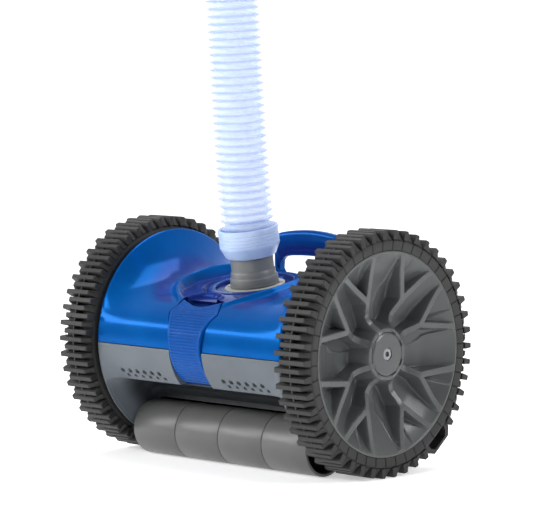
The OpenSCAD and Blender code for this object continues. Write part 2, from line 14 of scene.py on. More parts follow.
import bmesh
import bpy
import numpy as np
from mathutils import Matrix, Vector

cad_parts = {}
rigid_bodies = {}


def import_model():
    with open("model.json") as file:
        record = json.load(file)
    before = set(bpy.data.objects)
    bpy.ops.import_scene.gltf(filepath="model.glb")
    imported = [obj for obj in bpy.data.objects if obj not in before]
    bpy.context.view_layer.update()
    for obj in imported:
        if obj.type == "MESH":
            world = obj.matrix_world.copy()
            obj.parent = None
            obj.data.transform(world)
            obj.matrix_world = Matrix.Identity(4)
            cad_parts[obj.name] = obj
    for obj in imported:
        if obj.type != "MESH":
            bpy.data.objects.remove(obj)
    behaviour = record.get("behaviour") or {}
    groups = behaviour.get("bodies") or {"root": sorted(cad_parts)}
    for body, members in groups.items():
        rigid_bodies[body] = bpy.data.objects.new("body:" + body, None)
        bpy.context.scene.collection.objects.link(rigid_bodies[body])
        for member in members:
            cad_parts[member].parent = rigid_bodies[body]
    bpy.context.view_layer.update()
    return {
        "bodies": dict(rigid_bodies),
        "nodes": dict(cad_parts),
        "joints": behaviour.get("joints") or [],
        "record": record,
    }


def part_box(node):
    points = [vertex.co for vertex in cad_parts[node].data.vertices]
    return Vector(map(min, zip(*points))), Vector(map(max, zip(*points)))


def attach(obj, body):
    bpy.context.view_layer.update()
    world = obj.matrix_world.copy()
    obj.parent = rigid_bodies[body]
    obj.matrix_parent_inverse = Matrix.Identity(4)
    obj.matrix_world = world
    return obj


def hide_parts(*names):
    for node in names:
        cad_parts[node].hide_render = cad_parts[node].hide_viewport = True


LOG = logging.getLogger("pool_cleaner")
MM = 0.001
AXLE_Z = 107.0  # height of the wheel axle
PART_Z = 105.5  # height of the line between cover and chassis
SIDE_R = 96.0  # radius of the body's round sides
EDGE_X = 111.0  # where the body's sides begin to round over
INNER_EDGE = (EDGE_X - 1.5) / EDGE_X  # how much narrower the body is inside
FULL_TURN = 2 * math.pi
Table = Sequence[tuple[float, float]]
Place = Callable[[np.ndarray, np.ndarray, np.ndarray], np.ndarray]


# ---------------------------------------------------------------- numbers


def smooth(t: np.ndarray) -> np.ndarray:
    """Eased step: 0 below 0, 1 above 1, with no corner at either end."""
    t = np.clip(t, 0.0, 1.0)
    return t * t * (3.0 - 2.0 * t)


def eased(x: np.ndarray, table: Table) -> np.ndarray:
    """Monotone cubic curve through the points of a table.

    Args:
        x: Where to read the curve.
        table: (position, value) pairs in rising order of position.

    Returns:
        The curve's values, held level past both ends.
    """
    px = np.array([p[0] for p in table], float)
    py = np.array([p[1] for p in table], float)
    step = np.diff(px)
    slope = np.diff(py) / step
    tangent = np.zeros(len(px))
    inner = slope[:-1] * slope[1:] > 0
    mean = 2.0 * slope[:-1] * slope[1:] / np.where(inner, slope[:-1] + slope[1:], 1.0)
    tangent[1:-1] = np.where(inner, mean, 0.0)
    tangent[0], tangent[-1] = slope[0], slope[-1]
    x = np.clip(x, px[0], px[-1])
    i = np.clip(np.searchsorted(px, x) - 1, 0, len(step) - 1)
    t = (x - px[i]) / step[i]
    rise = py[i] * (1 + 2 * t) * (1 - t) ** 2 + py[i + 1] * t * t * (3 - 2 * t)
    return rise + step[i] * (tangent[i] * t * (1 - t) ** 2 - tangent[i + 1] * t * t * (1 - t))


def higher(a: np.ndarray, b: np.ndarray, blend: float) -> np.ndarray:
    """The larger of two surfaces, with a fillet of about the size of blend where they meet."""
    return (a + b + np.sqrt((a - b) ** 2 + blend * blend)) / 2.0


def off_line(u: np.ndarray, v: np.ndarray, line: Table) -> np.ndarray:
    """Distance of points from an open chain of straight stretches.

    Args:
        u: First coordinate of the points.
        v: Second coordinate.
        line: The corners of the chain.

    Returns:
        The distance of each point.
    """
    best = np.full(np.broadcast(u, v).shape, 1e9)
    for (au, av), (bu, bv) in zip(line[:-1], line[1:]):
        du, dv = bu - au, bv - av
        t = np.clip(((u - au) * du + (v - av) * dv) / (du * du + dv * dv), 0, 1)
        best = np.minimum(best, np.hypot(u - au - t * du, v - av - t * dv))
    return best


def arc(middle: tuple[float, float], radius: float, angles: Sequence[float]) -> Table:
    """Points at a radius about a middle, one for each angle in degrees."""
    turns = [math.radians(a) for a in angles]
    return [(middle[0] + radius * math.cos(a), middle[1] + radius * math.sin(a)) for a in turns]


def run_of(points: np.ndarray) -> np.ndarray:
    """Distance along a line of points, at each of them."""
    return np.concatenate([[0], np.cumsum(np.hypot(*np.diff(points, axis=0).T))])


def all_round(steps: int) -> np.ndarray:
    """Angles all round a circle, as one row."""
    return np.linspace(0, FULL_TURN, steps, endpoint=False)[None, :]


def bowed(a: tuple[float, float], b: tuple[float, float], c: tuple[float, float], steps: int = 6) -> Table:
    """Points along a curve.

    Args:
        a: Where it starts.
        b: What draws it aside.
        c: Where it ends.
        steps: Stretches along it.

    Returns:
        The points, both ends among them.
    """
    out = []
    for i in range(steps + 1):
        t = i / steps
        k0, k1, k2 = (1 - t) ** 2, 2 * t * (1 - t), t * t
        out.append((k0 * a[0] + k1 * b[0] + k2 * c[0], k0 * a[1] + k1 * b[1] + k2 * c[1]))
    return out


# ---------------------------------------------------------------- shader maths


class Sock:
    """A shader value that can be used in Python expressions, which add Math nodes."""

    def __init__(self, book: "NodeBook", link: bpy.types.NodeSocket) -> None:
        """Keeps the material's node book and the output socket."""
        self.book = book
        self.link = link

    def _maths(self, operation: str, *values: object) -> "Sock":
        """One Math node on up to three values."""
        return self.book.sock("ShaderNodeMath", {"operation": operation}, dict(enumerate(values)))

    def __add__(self, other: object) -> "Sock":
        """self + other."""
        return self._maths("ADD", self, other)

    __radd__ = __add__

    def __sub__(self, other: object) -> "Sock":
        """self - other."""
        return self._maths("SUBTRACT", self, other)

    def __rsub__(self, other: object) -> "Sock":
        """other - self, so that 1 - mask works."""
        return self._maths("SUBTRACT", other, self)

    def __mul__(self, other: object) -> "Sock":
        """self * other."""
        return self._maths("MULTIPLY", self, other)

    __rmul__ = __mul__

    def __pow__(self, other: object) -> "Sock":
        """self ** other."""
        return self._maths("POWER", self, other)

    def spread(self, low: float, high: float) -> "Sock":
        """0 where the value is at low or less, 1 at high or more, and eased between them."""
        values = {"Value": self, "From Min": low, "From Max": high}
        return self.book.sock("ShaderNodeMapRange", {"interpolation_type": "SMOOTHSTEP"}, values, "Result")


class NodeBook:
    """Builds the nodes of one material or of the world."""

    def __init__(self, owner: bpy.types.ID, shader: str = "ShaderNodeBsdfPrincipled",
                 output: str = "ShaderNodeOutputMaterial") -> None:
        """Clears the owner's nodes and adds its shader and its output.

        Args:
            owner: The material or the world.
            shader: Type of the shader node.
            output: Type of the output node.
        """
        owner.use_nodes = True
        self.tree = owner.node_tree
        self.tree.nodes.clear()
        self.shader = self.node(shader, {}, {})
        self.node(output, {}, {"Surface": self.shader.outputs[0]})

    def node(self, kind: str, settings: dict, values: dict) -> bpy.types.Node:
        """Adds one node.

        Args:
            kind: The node's type.
            settings: What is set on the node before its sockets, such as an operation; "stops" holds
                a ramp's (position, colour) pairs.
            values: Value or link of each socket, by name or number.

        Returns:
            The new node.
        """
        node = self.tree.nodes.new(kind)
        for key, value in settings.items():
            if key == "stops":
                for stop, (position, colour) in zip(self._ramp_stops(node, len(value)), value):
                    stop.position = position
                    stop.color = colour
            else:
                setattr(node, key, value)
        self.feed(node, values)
        return node

    def feed(self, node: bpy.types.Node, values: dict) -> None:
        """Sets or links a node's sockets, by name or number."""
        for key, value in values.items():
            if isinstance(value, Sock):
                value = value.link
            if isinstance(value, bpy.types.NodeSocket):
                self.tree.links.new(value, node.inputs[key])
            else:
                node.inputs[key].default_value = value

    def sock(self, kind: str, settings: dict, values: dict, output: object = 0) -> Sock:
        """One output of a new node, for use in expressions.

        Args:
            kind: The node's type.
            settings: What is set on the node before its sockets.
            values: Value or link of each socket, by name or number.
            output: Name or number of the output.

        Returns:
            The output.
        """
        return Sock(self, self.node(kind, settings, values).outputs[output])

    @staticmethod
    def _ramp_stops(node: bpy.types.Node, count: int) -> list:
        """The stops of a ramp, made up to count."""
        stops = node.color_ramp.elements
        while len(stops) < count:
            stops.new(1.0)
        return list(stops)

    def place(self, output: str = "Object") -> Sock:
        """Position in the object's own frame, in metres, or another texture coordinate."""
        return self.sock("ShaderNodeTexCoord", {}, {}, output)

    def stored(self, name: str) -> Sock:
        """A number stored on the points of the mesh."""
        return self.sock("ShaderNodeAttribute", {"attribute_name": name}, {}, "Fac")

    def part(self, vector: Sock, axis: str) -> Sock:
        """One coordinate of a vector."""
        return self.sock("ShaderNodeSeparateXYZ", {}, {0: vector}, axis)

    def noise(self, where: Sock, scale: float, detail: float = 3.0, rough: float = 0.55) -> Sock:
        """Smooth noise between 0 and 1, with scale in waves per metre."""
        values = {"Vector": where, "Scale": scale, "Detail": detail, "Roughness": rough}
        return self.sock("ShaderNodeTexNoise", {}, values)

    def vector(self, operation: str, first: Sock, second: tuple, output: object = 0) -> Sock:
        """One Vector Math node on a vector and a constant."""
        return self.sock("ShaderNodeVectorMath", {"operation": operation}, {0: first, 1: second}, output)

    def mixed(self, mask: Sock, first: object, second: object) -> Sock:
        """Colour that goes from first to second as mask goes from 0 to 1."""
        values = {"Factor": mask, 6: first, 7: second}
        return self.sock("ShaderNodeMix", {"data_type": "RGBA"}, values, 2)

    def bumped(self, height: Sock, depth: float) -> Sock:
        """Normal of a surface that the height raises by up to depth metres."""
        return self.sock("ShaderNodeBump", {}, {"Height": height, "Distance": depth, "Strength": 1.0})


def linear(hue: tuple[float, float, float]) -> tuple[float, float, float, float]:
    """Shader colour of a screen colour given as 0 to 255."""
    out = []
    for c in hue:
        c = c / 255.0
        out.append(c / 12.92 if c <= 0.04045 else ((c + 0.055) / 1.055) ** 2.4)
    return (out[0], out[1], out[2], 1.0)


PAINTED_SHADE_BLUE = (34, 44, 118)  # painted shade for the cover where it lies deep in its bowl and hollows, and for the handle's finger recess
PAINTED_CREST_SHADE_BLUE = (122, 158, 220)  # painted shade on the crests of the hose
SHADE = (16, 20, 24)  # the hollows of the chassis
HOLLOW_REACH = (0.070, 0.087)  # metres from the axle over which the hollow's shade fades out
TURNED_GRAIN = (1.0, 14.0, 14.0)  # grain that runs along a turned bar
FINE_GRAIN = 0.00005  # metres
COARSE_GRAIN = 0.00012  # metres


class Grain(Enum):
    """How the surface of a finish looks close up; three of them also paint shade into its colour."""

    POLISHED_PAINTED_SHADE = "polished"
    SATIN = "satin"
    RUBBER = "rubber"
    CLEAR = "clear"
    BRUSHED = "brushed"
    PAINTED_HOLLOW_SHADE = "hollow"


@dataclass(frozen=True)
class Finish:
    """One finish: its colours, its gloss and its grain."""

    name: str
    slot: str
    hue: tuple[float, float, float]
    worn: tuple[float, float, float]
    rough: float
    grain: Grain
    metal: float = 0.0
    alpha: float = 1.0
    # painted light for clear parts: they glow in their own colour, though they are no lamp
    glow: float = 0.0
    sheen: tuple[float, float, float] = (255, 255, 255)
    gloss: float = 0.5

    def make(self) -> bpy.types.Material:
        """Builds the finish's material."""
        material = bpy.data.materials.new(self.name)
        book = NodeBook(material)
        where = book.place()
        cloud = book.noise(where, 24.0, 4.0)
        speck = book.noise(where, 900.0, 2.0)
        colour = book.mixed(cloud.spread(0.35, 0.75), linear(self.hue), linear(self.worn))
        rough = self.rough + (speck - 0.5) * 0.08 + (cloud - 0.5) * 0.06
        height, depth = speck, FINE_GRAIN
        more = {}
        if self.grain is Grain.POLISHED_PAINTED_SHADE:
            # painted shade: mixes in deep blue by the stored depth, in the cover's bowl and hollows and in
            # the handle's finger recess
            colour = book.mixed(book.stored("depth") * 0.85, colour, linear(PAINTED_SHADE_BLUE))
            height, depth = cloud, COARSE_GRAIN
        elif self.grain is Grain.PAINTED_HOLLOW_SHADE:
            # painted shade: darkens the chassis towards near black within about 70 mm of the axle, fading out
            # by 87 mm
            across, up = book.part(where, "Y"), book.part(where, "Z") - AXLE_Z * MM
            reach = (across * across + up * up) ** 0.5
            inside = 1 - reach.spread(*HOLLOW_REACH)
            colour = book.mixed(inside * 0.93, colour, linear(SHADE))
        elif self.grain is Grain.RUBBER:
            dust = book.noise(where, 140.0, 5.0, 0.7).spread(0.5, 0.8)
            colour = book.mixed(dust * 0.5, colour, linear(self.worn))
            height, depth = speck + dust * 0.4, COARSE_GRAIN
        elif self.grain is Grain.CLEAR:
            # painted shade: darker blue on the hose's crests, read from the stored ridge value
            colour = book.mixed(book.stored("ridge").spread(0.35, 1.0) * 0.8, colour, linear(PAINTED_CREST_SHADE_BLUE))
            height, depth = book.noise(where, 260.0, 3.0), 0.00008
            # painted light: the clear parts glow in their own colour, though they are no lamp
            more = {"Alpha": self.alpha, "Emission Color": linear(self.hue), "Emission Strength": self.glow}
        elif self.grain is Grain.BRUSHED:
            turned = book.noise(book.vector("MULTIPLY", where, TURNED_GRAIN), 120.0, 4.0)
            rough = rough + (turned - 0.5) * 0.15
            height, depth = turned, 0.00006
        book.feed(book.shader, {
            "Base Color": colour, "Roughness": rough, "Normal": book.bumped(height, depth), "IOR": 1.47,
            "Metallic": self.metal, "Specular Tint": linear(self.sheen), "Specular IOR Level": self.gloss,
            **more})
        return material


class Finishes:
    """All finishes of the pool cleaner."""

    cover = Finish("gloss_blue", "cover_blue", (4, 75, 146), (5, 82, 154), 0.16, Grain.POLISHED_PAINTED_SHADE, metal=0.22,
                   sheen=(0, 178, 250), gloss=0.13)
    latch = Finish("satin_blue", "latch_blue", (7, 70, 144), (6, 65, 137), 0.34, Grain.SATIN,
                   sheen=(60, 150, 255), gloss=0.25)
    shell = Finish("shell_grey", "chassis_grey", (88, 95, 102), (82, 88, 95), 0.46, Grain.PAINTED_HOLLOW_SHADE)
    inner = Finish("inner_grey", "inner_grey", (84, 88, 92), (74, 78, 82), 0.5, Grain.SATIN)
    wheel = Finish("wheel_grey", "wheel_grey", (79, 82, 82), (73, 76, 76), 0.32, Grain.SATIN)
    tyre = Finish("tyre_rubber", "tyre", (32, 32, 32), (42, 42, 41), 0.6, Grain.RUBBER)
    roller = Finish("roller_grey", "roller_grey", (94, 95, 94), (88, 89, 88), 0.36, Grain.SATIN)
    tube = Finish("tube_grey", "swivel_grey", (114, 116, 114), (105, 107, 105), 0.4, Grain.SATIN)
    ring = Finish("ring_grey", "ring_grey", (176, 176, 168), (164, 164, 156), 0.45, Grain.SATIN)
    hose = Finish("hose_clear", "hose_clear", (206, 220, 242), (222, 232, 248), 0.2, Grain.CLEAR,
                  alpha=0.36, glow=0.16)
    cuff = Finish("cuff_clear", "cuff_clear", (168, 192, 228), (198, 214, 240), 0.3, Grain.CLEAR,
                  alpha=0.9, glow=0.05)
    gear = Finish("gear_acetal", "gear_acetal", (208, 200, 182), (196, 188, 168), 0.4, Grain.SATIN)
    bearing = Finish("bearing_white", "bearing_white", (214, 216, 220), (202, 204, 208), 0.4, Grain.SATIN)
    rubber = Finish("seal_rubber", "rubber_black", (34, 34, 34), (48, 48, 47), 0.7, Grain.RUBBER)
    steel = Finish("turned_steel", "steel", (150, 152, 154), (132, 134, 137), 0.28, Grain.BRUSHED, metal=1.0)

    def __init__(self) -> None:
        """Builds each material once."""
        every = [f for f in vars(Finishes).values() if isinstance(f, Finish)]
        self.made = {f.slot: f.make() for f in every}

    def of(self, finish: Finish) -> bpy.types.Material:
        """The material of a finish."""
        return self.made[finish.slot]

    def dress_nodes(self, frame: dict) -> None:
        """Gives every carried-over CAD node the material of its slot."""
        slots = {part["node"]: part["material_slot"] for part in frame["record"]["subparts"]}
        for name, node in frame["nodes"].items():
            node.data.materials.clear()
            node.data.materials.append(self.made[slots[name]])


# ---------------------------------------------------------------- meshes


def linked(name: str, data: bpy.types.ID) -> bpy.types.Object:
    """A new object with this data, in the scene."""
    made = bpy.data.objects.new(name, data)
    bpy.context.scene.collection.objects.link(made)
    return made


def store(mesh: bpy.types.Mesh, name: str, values: np.ndarray) -> None:
    """Stores one number on each point of a mesh, for its material to read."""
    mesh.attributes.new(name, "FLOAT", "POINT").data.foreach_set("value", values.astype(np.float32).ravel())


class Mould:
    """Collects the surfaces of one piece, in millimetres, and makes its object."""

    def __init__(self) -> None:
        """Starts with no points."""
        self.points: list[np.ndarray] = []
        self.faces: list[tuple[int, ...]] = []
        self.count = 0

    def take(self, points: np.ndarray) -> np.ndarray:
        """Adds points and returns their numbers, in the same arrangement."""
        numbers = np.arange(self.count, self.count + points[..., 0].size).reshape(points.shape[:-1])
        self.points.append(points.reshape(-1, 3))
        self.count += numbers.size
        return numbers

    def close(self, faces: np.ndarray) -> None:
        """Adds faces, given as point numbers along the last axis."""
        self.faces += [tuple(face) for face in faces.reshape(-1, faces.shape[-1]).tolist()]

    @staticmethod
    def quads(n: np.ndarray, round_rows: bool = False, round_cols: bool = False) -> np.ndarray:
        """Quads of a grid of point numbers, as (rows, columns, 4)."""
        if round_rows:
            n = np.vstack([n, n[:1]])
        if round_cols:
            n = np.hstack([n, n[:, :1]])
        return np.stack([n[:-1, :-1], n[:-1, 1:], n[1:, 1:], n[1:, :-1]], axis=-1)

    def grid(self, points: np.ndarray, round_rows: bool = False, round_cols: bool = False) -> "Mould":
        """Adds a surface.

        Args:
            points: The points as (rows, columns, 3).
            round_rows: Whether the last row joins the first.
            round_cols: Whether the last column joins the first.

        Returns:
            This mould.
        """
        self.close(self.quads(self.take(points), round_rows, round_cols))
        return self

    def loft(self, rows: np.ndarray) -> "Mould":
        """Adds a solid through rows of points, each of them a ring, with a face at both ends."""
        n = self.take(rows)
        self.close(self.quads(n, round_cols=True))
        self.close(n[:1, ::-1])
        self.close(n[-1:])
        return self

    def slab(self, outline: Table, ends: Sequence[float]) -> "Mould":
        """Adds a plate with a (y, z) outline between two distances across."""
        return self.loft(np.array([[(x, y, z) for y, z in outline] for x in ends]))

    def shell(self, outer: np.ndarray, inner: np.ndarray, keep: Optional[np.ndarray] = None) -> "Mould":
        """Adds a closed wall between two surfaces of the same grid.

        Args:
            outer: Points of the outer surface, as (rows, columns, 3).
            inner: Points of the inner surface.
            keep: Which cells are there, as (rows - 1, columns - 1); all of them by default.

        Returns:
            This mould.
        """
        a, b = self.quads(self.take(outer)), self.quads(self.take(inner))
        if keep is None:
            keep = np.ones(a.shape[:2], bool)
        self.close(a[keep])
        self.close(b[keep][:, ::-1])
        walled = np.pad(keep, 1)
        for (dr, dc), i, j in (((-1, 0), 0, 1), ((0, 1), 1, 2), ((1, 0), 2, 3), ((0, -1), 3, 0)):
            beside = walled[1 + dr:walled.shape[0] - 1 + dr, 1 + dc:walled.shape[1] - 1 + dc]
            self.close(np.stack([a[..., j], a[..., i], b[..., i], b[..., j]], axis=-1)[keep & ~beside])
        return self

    def lathe(self, profile: Table, place: Place, steps: int = 96) -> "Mould":
        """Adds a closed turned surface.

        Args:
            profile: (radius, distance along the axis) pairs.
            place: Gives the points from radius, angle and distance along the axis.
            steps: Stretches round the circle.

        Returns:
            This mould.
        """
        radius, along = np.array(profile, float).T[:, :, None]
        return self.grid(place(radius, all_round(steps), along), round_rows=True, round_cols=True)

    def build(self, name: str, look: "Look", sharp: float) -> bpy.types.Object:
        """Makes the piece's object.

        Args:
            name: The piece's name.
            look: Its finish, its body and the CAD nodes it stands for.
            sharp: Edges that turn by more degrees than this stay crisp.

        Returns:
            The object, which rides on its body.
        """
        mesh = bpy.data.meshes.new(name)
        mesh.from_pydata((np.vstack(self.points) * MM).tolist(), [], self.faces)
        work = bmesh.new()
        work.from_mesh(mesh)
        bmesh.ops.remove_doubles(work, verts=work.verts, dist=1e-7)
        bmesh.ops.recalc_face_normals(work, faces=work.faces)
        work.to_mesh(mesh)
        work.free()
        mesh.shade_smooth()
        piece = linked(name, mesh)
        mesh.set_sharp_from_angle(angle=math.radians(sharp))
        look.dress(piece)
        LOG.info("%s: %d faces on %s", name, len(mesh.polygons), look.body)
        return piece


@dataclass(frozen=True)
class Look:
    """What a piece is finished in, rides on and stands for."""

    finishes: Finishes
    finish: Finish
    body: str
    stands_for: tuple[str, ...] = ()

    def dress(self, piece: bpy.types.Object) -> None:
        """Gives a piece its material, slot, body and the nodes it replaces."""
        piece.data.materials.append(self.finishes.of(self.finish))
        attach(piece, self.body)
        if self.stands_for:
            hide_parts(*self.stands_for)


def about_axle(radius: np.ndarray, turn: np.ndarray, x: np.ndarray) -> np.ndarray:
    """Points at a radius about the wheel axle; turn is measured from the front, upwards."""
    radius, turn, x = np.broadcast_arrays(radius, turn, x)
    return np.stack([x, -radius * np.cos(turn), AXLE_Z + radius * np.sin(turn)], axis=-1)


def about(y: float, z: float) -> Place:
    """Placing function for what is turned about the X direction through (y, z)."""
    def place(radius: np.ndarray, turn: np.ndarray, x: np.ndarray) -> np.ndarray:
        """Points at a radius about that line; turn is measured from the rear, upwards."""
        radius, turn, x = np.broadcast_arrays(radius, turn, x)
        return np.stack([x, y + radius * np.cos(turn), z + radius * np.sin(turn)], axis=-1)
    return place


on_axle = about(0.0, AXLE_Z)


def middle_of(name: str) -> tuple[float, float]:
    """Middle (y, z) of a packed node, in millimetres."""
    low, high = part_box(name)
    return (low.y + high.y) / 2 / MM, (low.z + high.z) / 2 / MM


def hand(side: int) -> str:
    """The name of a side of the cleaner, +1 or -1."""
    return "right" if side > 0 else "left"


@dataclass(frozen=True)
class SwivelAxis:
    """The leaning axis of the swivel, from the middle of its retaining ring."""

    y: float = -10.2
    z: float = 159.0
    lean: float = math.radians(10)

    def place(self, radius: np.ndarray, turn: np.ndarray, up: np.ndarray) -> np.ndarray:
        """Points at a radius about the axis and a height up it."""
        radius, turn, up = np.broadcast_arrays(radius, turn, up)
        across = radius * np.sin(turn)
        y = self.y + across * math.cos(self.lean) - up * math.sin(self.lean)
        z = self.z + across * math.sin(self.lean) + up * math.cos(self.lean)
        return np.stack([radius * np.cos(turn), y, z], axis=-1)

    def plane(self, y: np.ndarray) -> np.ndarray:
        """Height of the ring's plane at y."""
        return self.z + (y - self.y) * math.tan(self.lean)

    def off(self, x: np.ndarray, y: np.ndarray) -> np.ndarray:
        """Distance from the axis, in the ring's plane, of what lies above (x, y)."""
        return np.hypot(x, (y - self.y) / math.cos(self.lean))


SWIVEL = SwivelAxis()


@dataclass(frozen=True)
class LatchShape:
    """The outline and the profile that the latch and its slot share."""

    gap: float = 0.8
    top: float = 147.5
    widths: tuple = ((72, 20), (105.5, 19.2), (112.7, 19.8), (125.8, 21.9), (132, 25), (138, 29.3),
                     (147.5, 23.5))
    dip: float = 6.5

    def half(self, z: np.ndarray) -> np.ndarray:
        """Half the latch's width at a height."""
        return np.interp(z, [w[0] for w in self.widths], [w[1] for w in self.widths])


LATCH = LatchShape()


# ---------------------------------------------------------------- body


@dataclass
class Cover:
    """The glossy upper moulding: front and rear bands, a saddle between flared sides, and a bowl."""

    finishes: Finishes
    wall: float = 2.5
    pocket: float = 5.5
    flare_x: float = 58.0
    flank_slope: float = 0.495
    back_slot: float = 24.0
    cup_r: float = 25.9
    scoop_at: tuple = (-3.0, -77.0)
    scoop_half: tuple = (18.0, 19.0)
    scoop_deep: float = 13.0
    collar: tuple = ((27.3, -4.2), (27.6, -4.2), (33.6, -4.2), (34.6, 1.2), (36, 1.7), (41, 1.7), (42.6, 0.9),
                     (43.2, -1.6), (44.8, -2.2))
    saddle: tuple = (
        (-2, 96), (10, 96), (14, 95.4), (18, 93.3), (22, 89.8), (26, 86.2), (30, 82.6), (36, 77), (44, 71),
        (54, 65.5), (66, 61), (80, 58.5), (92, 57.5), (104, 58), (116, 60.5), (128, 65.5), (138, 72),
        (146, 79.5), (152, 86), (157, 91.5), (162, 95), (167, 96), (182, 96),
    )
    ridge_out: tuple = ((-80, 25), (-74, 31), (-66, 42), (-58, 50), (-44, 58.5), (-25, 62.5), (0, 62),
                        (20, 58), (40, 50), (56, 42), (76, 38))
    ridge_up: tuple = ((-80, 144), (-74, 149), (-66, 154), (-58, 158), (-44, 162.5), (-25, 167.5), (0, 172),
                       (20, 173), (40, 171), (56, 165), (76, 150))
    floor: tuple = ((-80, 146), (-72, 149.5), (-62, 152), (-45, 154.5), (-23, 158.5), (0, 161), (15, 162.5),
                    (30, 162), (42, 160), (52, 156.5), (62, 153), (78, 147.5))

    def flare(self, x: np.ndarray) -> np.ndarray:
        """0 in the saddle and 1 at the round sides."""
        return np.clip((np.abs(x) - self.flare_x) / (EDGE_X - self.flare_x), 0, 1) ** 2.3

    def top(self, x: np.ndarray, y: np.ndarray, z: np.ndarray, plain: bool) -> np.ndarray:
        """Height of the cover above (x, y): the saddle's z, with the ridges and the bowl worked in.

        Args:
            x: Distance across.
            y: Distance back.
            z: Height of the plain saddle there.
            plain: True for the inner side, which leaves out the collar and the finger scoop.

        Returns:
            The height of the surface.
        """
        edge = eased(y, self.ridge_out)
        crest = eased(y, self.ridge_up)
        out = np.abs(x) - edge
        flank = crest - self.flank_slope * np.maximum(out, 0) ** 1.25
        ground = higher(z, flank, 0.8)
        base = eased(y, self.floor)
        if not plain:
            off = SWIVEL.off(x, y)
            near = SWIVEL.plane(y) + np.interp(off, *zip(*self.collar))
            base = near + (base - near) * smooth((off - 44.0) / 3.0)
        rise = smooth(1.0 + out / 8.0)
        bowl = base + (crest - base) * rise
        inside = smooth((1.5 - out) / 2.0)
        made = bowl * inside + ground * (1 - inside)
        if not plain:
            (sx, sy), (wide, long) = self.scoop_at, self.scoop_half
            scoop = np.hypot((x - sx) / wide, (y - sy) / long)
            made = made + 1.3 * np.exp(-((scoop - 1.1) / 0.1) ** 2)
            made = made - self.scoop_deep * smooth((1.03 - scoop) / 0.12)
        start = smooth((y + 82.0) / 5.0)
        finish = smooth((84.0 - y) / 10.0)
        return z + (made - z) * start * finish

    def surface(self, x: np.ndarray, turn: np.ndarray, inset: float) -> np.ndarray:
        """Points of the outer or the inner side of the cover.

        Args:
            x: Distance across.
            turn: Angle about the axle, from the front upwards.
            inset: 0 outside, or the wall's thickness inside.

        Returns:
            The points as (rows, columns, 3).
        """
        middle = eased(np.degrees(turn), self.saddle)
        radius = middle + (SIDE_R - middle) * self.flare(x) - inset
        y = -radius * np.cos(turn)
        z = AXLE_Z + radius * np.sin(turn)
        z = np.where(np.sin(turn) > 0.3, self.top(x, y, z + inset, inset > 0) - inset, z)
        return np.stack(np.broadcast_arrays(x, y, z), axis=-1)

    def build(self) -> None:
        """Builds the cover, its swivel cup and its hinge knuckles."""
        front = np.radians(np.linspace(-0.6, 34, 96))
        back = np.radians(np.linspace(34, 180.6, 216))
        turn = np.concatenate([front, back[1:]])[:, None]
        height = AXLE_Z + eased(np.degrees(turn), self.saddle) * np.sin(turn)
        slot = LATCH.half(np.minimum(height, LATCH.top)) + LATCH.gap
        slot = np.where(turn > math.radians(60), self.back_slot, slot)
        inside = np.linspace(0, 1, 18)[None, :] * slot
        lip = np.hstack([slot + 0.2, slot + 0.7])
        beyond = slot + 0.7 + np.linspace(0, 1, 92)[None, 1:] * (EDGE_X - slot - 0.7)
        half = np.hstack([inside, lip, beyond])
        x = np.hstack([-half[:, :0:-1], half])
        outer = self.surface(x, turn, 0.0)
        inner = self.surface(x * INNER_EDGE, turn, self.wall)
        in_slot = (np.abs(x) <= slot + 0.01) & (height <= LATCH.top)
        sunk = np.where(in_slot, self.pocket, 0.0)
        for face in (outer, inner):
            face[..., 1] += sunk * np.cos(turn)
            face[..., 2] -= sunk * np.sin(turn)
        outer, inner = (self.with_sides(p, turn, d) for p, d in ((outer, 0.0), (inner, self.wall)))
        middle = (outer[:-1, :-1] + outer[1:, 1:]) / 2
        hole = (SWIVEL.off(middle[..., 0], middle[..., 1]) < self.cup_r) & (middle[..., 2] > 140)
        shell = Mould().shell(outer, inner, ~hole).build(
            "cover_shell", Look(self.finishes, Finishes.cover, "cover", ("top_cover",)), sharp=62)
        self.paint_bowl_shade(shell.data)
        self.fittings()

    def paint_bowl_shade(self, mesh: bpy.types.Mesh) -> None:
        """Stores on each point how much painted shade it gets: most deep in the bowl and in the hollows
        beside the ridges, less on the collar.

        Args:
            mesh: The cover's mesh.
        """
        points = np.zeros(len(mesh.vertices) * 3, np.float32)
        mesh.vertices.foreach_get("co", points)
        x, y, z = (points.reshape(-1, 3) / MM).T
        out = np.abs(x) - eased(y, self.ridge_out)
        bowl = smooth((-3.0 - out) / 5.0)
        collar = smooth((3.0 - np.abs(SWIVEL.off(x, y) - 38.0)) / 1.5)
        beside = 0.85 * smooth((out - 7.0) / 5.0) * smooth((38.0 - out) / 16.0)
        depth = np.maximum(bowl * (1 - 0.8 * collar), beside)
        depth = depth * smooth((y + 80.0) / 4.0) * smooth((z - 138.0) / 8.0)
        store(mesh, "depth", depth * smooth((78.0 - y) / 12.0))

    @staticmethod
    def with_sides(points: np.ndarray, turn: np.ndarray, inset: float) -> np.ndarray:
        """Adds the rounded rim and the flat round side at both ends of each row.

        Args:
            points: The rows of the middle stretch.
            turn: The angle of each row about the axle.
            inset: 0 outside, or the wall's thickness inside.

        Returns:
            The wider rows.
        """
        rim = [(112.2, 96.0), (113.3, 95.6), (113.8, 94.8), (113.8, 93.6), (113.8, 60.0), (113.8, 15.0)]
        cols = [about_axle(r - (inset if r > 90 else 0), turn, x - inset) for x, r in rim]
        right = np.concatenate(cols, axis=1)
        left = right[:, ::-1] * np.array([-1.0, 1.0, 1.0])
        return np.concatenate([left, points, right], axis=1)

